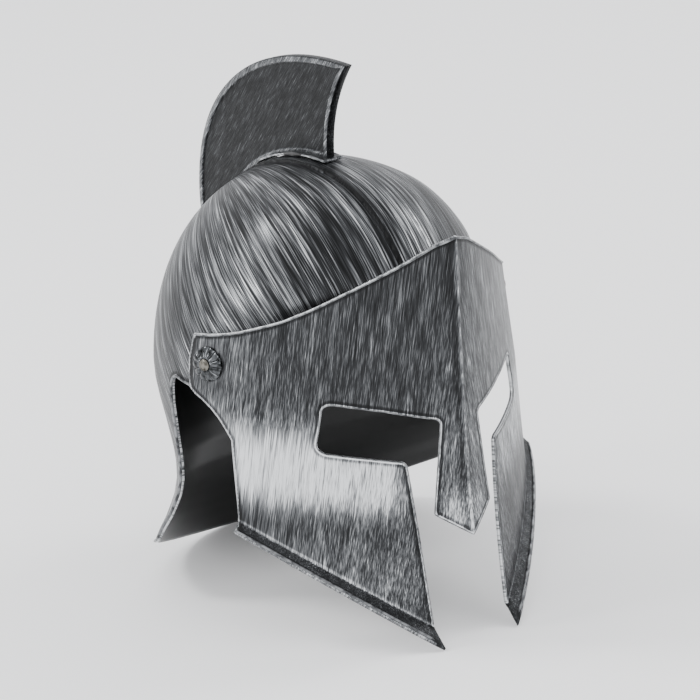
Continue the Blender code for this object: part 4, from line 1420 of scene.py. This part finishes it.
@dataclass
class Studio:
    """A pale floor, soft boxes and the camera that took the view."""

    floor_half: float = 3.0
    azimuth: float = -0.60504151
    elevation: float = 0.41888282
    distance: float = 2200.26348
    focal_pixels: float = 3942.92036
    shift: tuple[float, float] = (8.46200006, 106.4234)
    picture: int = 700
    sensor: float = 36.0

    def floor(self) -> None:
        """The floor under the helmet."""
        bm = bmesh.new()
        bmesh.ops.create_grid(bm, x_segments=1, y_segments=1, size=self.floor_half)
        mesh = bpy.data.meshes.new("studio_floor")
        bm.to_mesh(mesh)
        bm.free()
        material, _, shader = fresh_material("matt_white_floor")
        shader.inputs["Base Color"].default_value = linear("#fcfcfc")
        shader.inputs["Roughness"].default_value = 0.9
        mesh.materials.append(material)
        obj = bpy.data.objects.new("studio_floor", mesh)
        bpy.context.scene.collection.objects.link(obj)

    def world(self, tone: str, strength: float) -> None:
        """A pale room that lights the helmet from all round."""
        world = bpy.data.worlds.new("pale_room")
        world.use_nodes = True
        world.node_tree.nodes["Background"].inputs["Color"].default_value = linear(tone)
        world.node_tree.nodes["Background"].inputs["Strength"].default_value = strength
        bpy.context.scene.world = world

    def soft_box(
        self, name: str, place: tuple[float, float, float], size: tuple[float, float], power: float
    ) -> None:
        """An oblong lamp that looks at the helmet's middle.

        Args:
            name: The lamp's name.
            place: Where it hangs, in metres.
            size: Its width and height in metres.
            power: Its power in watts.
        """
        data = bpy.data.lights.new(name, "AREA")
        data.shape = "RECTANGLE"
        data.size, data.size_y = size
        data.energy = power
        lamp = bpy.data.objects.new(name, data)
        lamp.location = Vector(place)
        aim = Vector((0.0, 0.0, 0.13)) - lamp.location
        lamp.rotation_euler = aim.to_track_quat("-Z", "Y").to_euler()
        bpy.context.scene.collection.objects.link(lamp)

    def camera(self) -> None:
        """The camera, at the photograph's angle and distance."""
        a, e = self.azimuth, self.elevation
        back = Vector((math.sin(a) * math.cos(e), -math.cos(a) * math.cos(e), math.sin(e)))
        right = Vector((math.cos(a), math.sin(a), 0.0))
        up = back.cross(right)
        eye = right * self.shift[0] + up * self.shift[1] + back * self.distance
        turn = STAND.to_3x3()
        basis = Matrix((turn @ right, turn @ up, turn @ back)).transposed().to_4x4()
        data = bpy.data.cameras.new("camera")
        data.sensor_width = self.sensor
        data.lens = self.focal_pixels * self.sensor / self.picture
        data.clip_end = 100.0
        camera = bpy.data.objects.new("camera", data)
        camera.matrix_world = Matrix.Translation((STAND @ eye) * MM) @ basis
        bpy.context.scene.collection.objects.link(camera)
        bpy.context.scene.camera = camera

    def dress(self) -> None:
        """Sets the studio up."""
        self.floor()
        self.world("#fbfcff", 1.5)
        self.soft_box("back_left_box", (-1.05, 1.05, 1.75), (0.5, 0.5), 22.0)
        self.soft_box("side_left_strip", (-2.2, 0.55, 0.72), (0.3, 0.8), 16.0)
        self.soft_box("front_box", (-1.4, -2.2, 1.2), (1.2, 1.0), 22.0)
        self.soft_box("far_box", (1.8, -0.3, 1.6), (0.9, 0.9), 20.0)
        self.camera()
        LOG.info("floor, soft boxes and camera")


def main() -> None:
    """Builds the helmet's pieces in order, then the studio."""
    logging.basicConfig(level=logging.INFO, format="%(name)s %(message)s")
    skull_form, visor_form = SkullForm(), VisorForm()
    # Long bold strokes that flash silver on the dome and leave it black between them
    shell_paint = DryBrushedSilver(
        "dry_brushed_silver_shell", stroke_width=1.5, stroke_length=60.0, contrast=0.52, metallic=0.8
    ).make()
    # Finer, shorter strokes: a scratched grey plate with edges that are only a little worn
    plate_paint = DryBrushedSilver(
        "dry_brushed_silver_plate",
        stroke_width=0.95,
        stroke_length=30.0,
        contrast=0.34,
        metallic=0.75,
        edge_bright=0.75,
    ).make()
    # Short faint strokes on nearly black panels
    crest_paint = DryBrushedSilver(
        "dry_brushed_silver_crest", stroke_width=0.9, stroke_length=14.0, contrast=0.34, metallic=0.95
    ).make()
    # A light line along every rim, broken where the silver has rubbed off
    bead_paint = BrightMetalPaint(
        "worn_silver_bead", tone="#828486", rubbed="#38393b", roughness=0.36, speck=4.0, metallic=0.7
    ).make()
    black = MouldedBlackPlastic("moulded_black_plastic_inside").make()
    chrome = BrightMetalPaint("dark_chrome_plating", tone="#5a5c5e", rubbed="#141515", speck=3.0).make()
    brass = BrightMetalPaint("dull_brass_plating", tone="#737069", rubbed="#33312c", roughness=0.32).make()

    shell = SkullShell(skull_form, shell_paint, black)
    shell.dress()
    plate = Faceplate(visor_form, plate_paint, black)
    plate.dress()
    edges = RolledEdges(bead_paint)
    brow = [p - Vector((0.0, 0.0, 0.75)) + visor_form.out(p.x, p.z) * 0.15 for p in plate.brow_line()]
    edges.add("visor_rolled_edges", Body.VISOR, brow, 0.62)
    for side in Side:
        edges.add("visor_rolled_edges", Body.VISOR, plate.flange_line(side, 0.8), 0.7)
        edges.add("visor_rolled_edges", Body.VISOR, plate.opening_line(side), 0.28)
    edges.dress("visor_silver")
    rims = RolledEdges(bead_paint)
    for line in shell.rim_lines()[:2]:
        rims.add("skull_rolled_edges", Body.SKULL, line, 0.85)
    rims.add("skull_rolled_edges", Body.SKULL, shell.rim_lines()[2], 0.7)
    rims.dress("shell_silver")
    Crest(skull_form, crest_paint).dress(black, bead_paint)
    for side in Side:
        TemplePivot(side, visor_form, skull_form, chrome, brass).dress()
    Studio().dress()


if __name__ == "__main__":
    main()
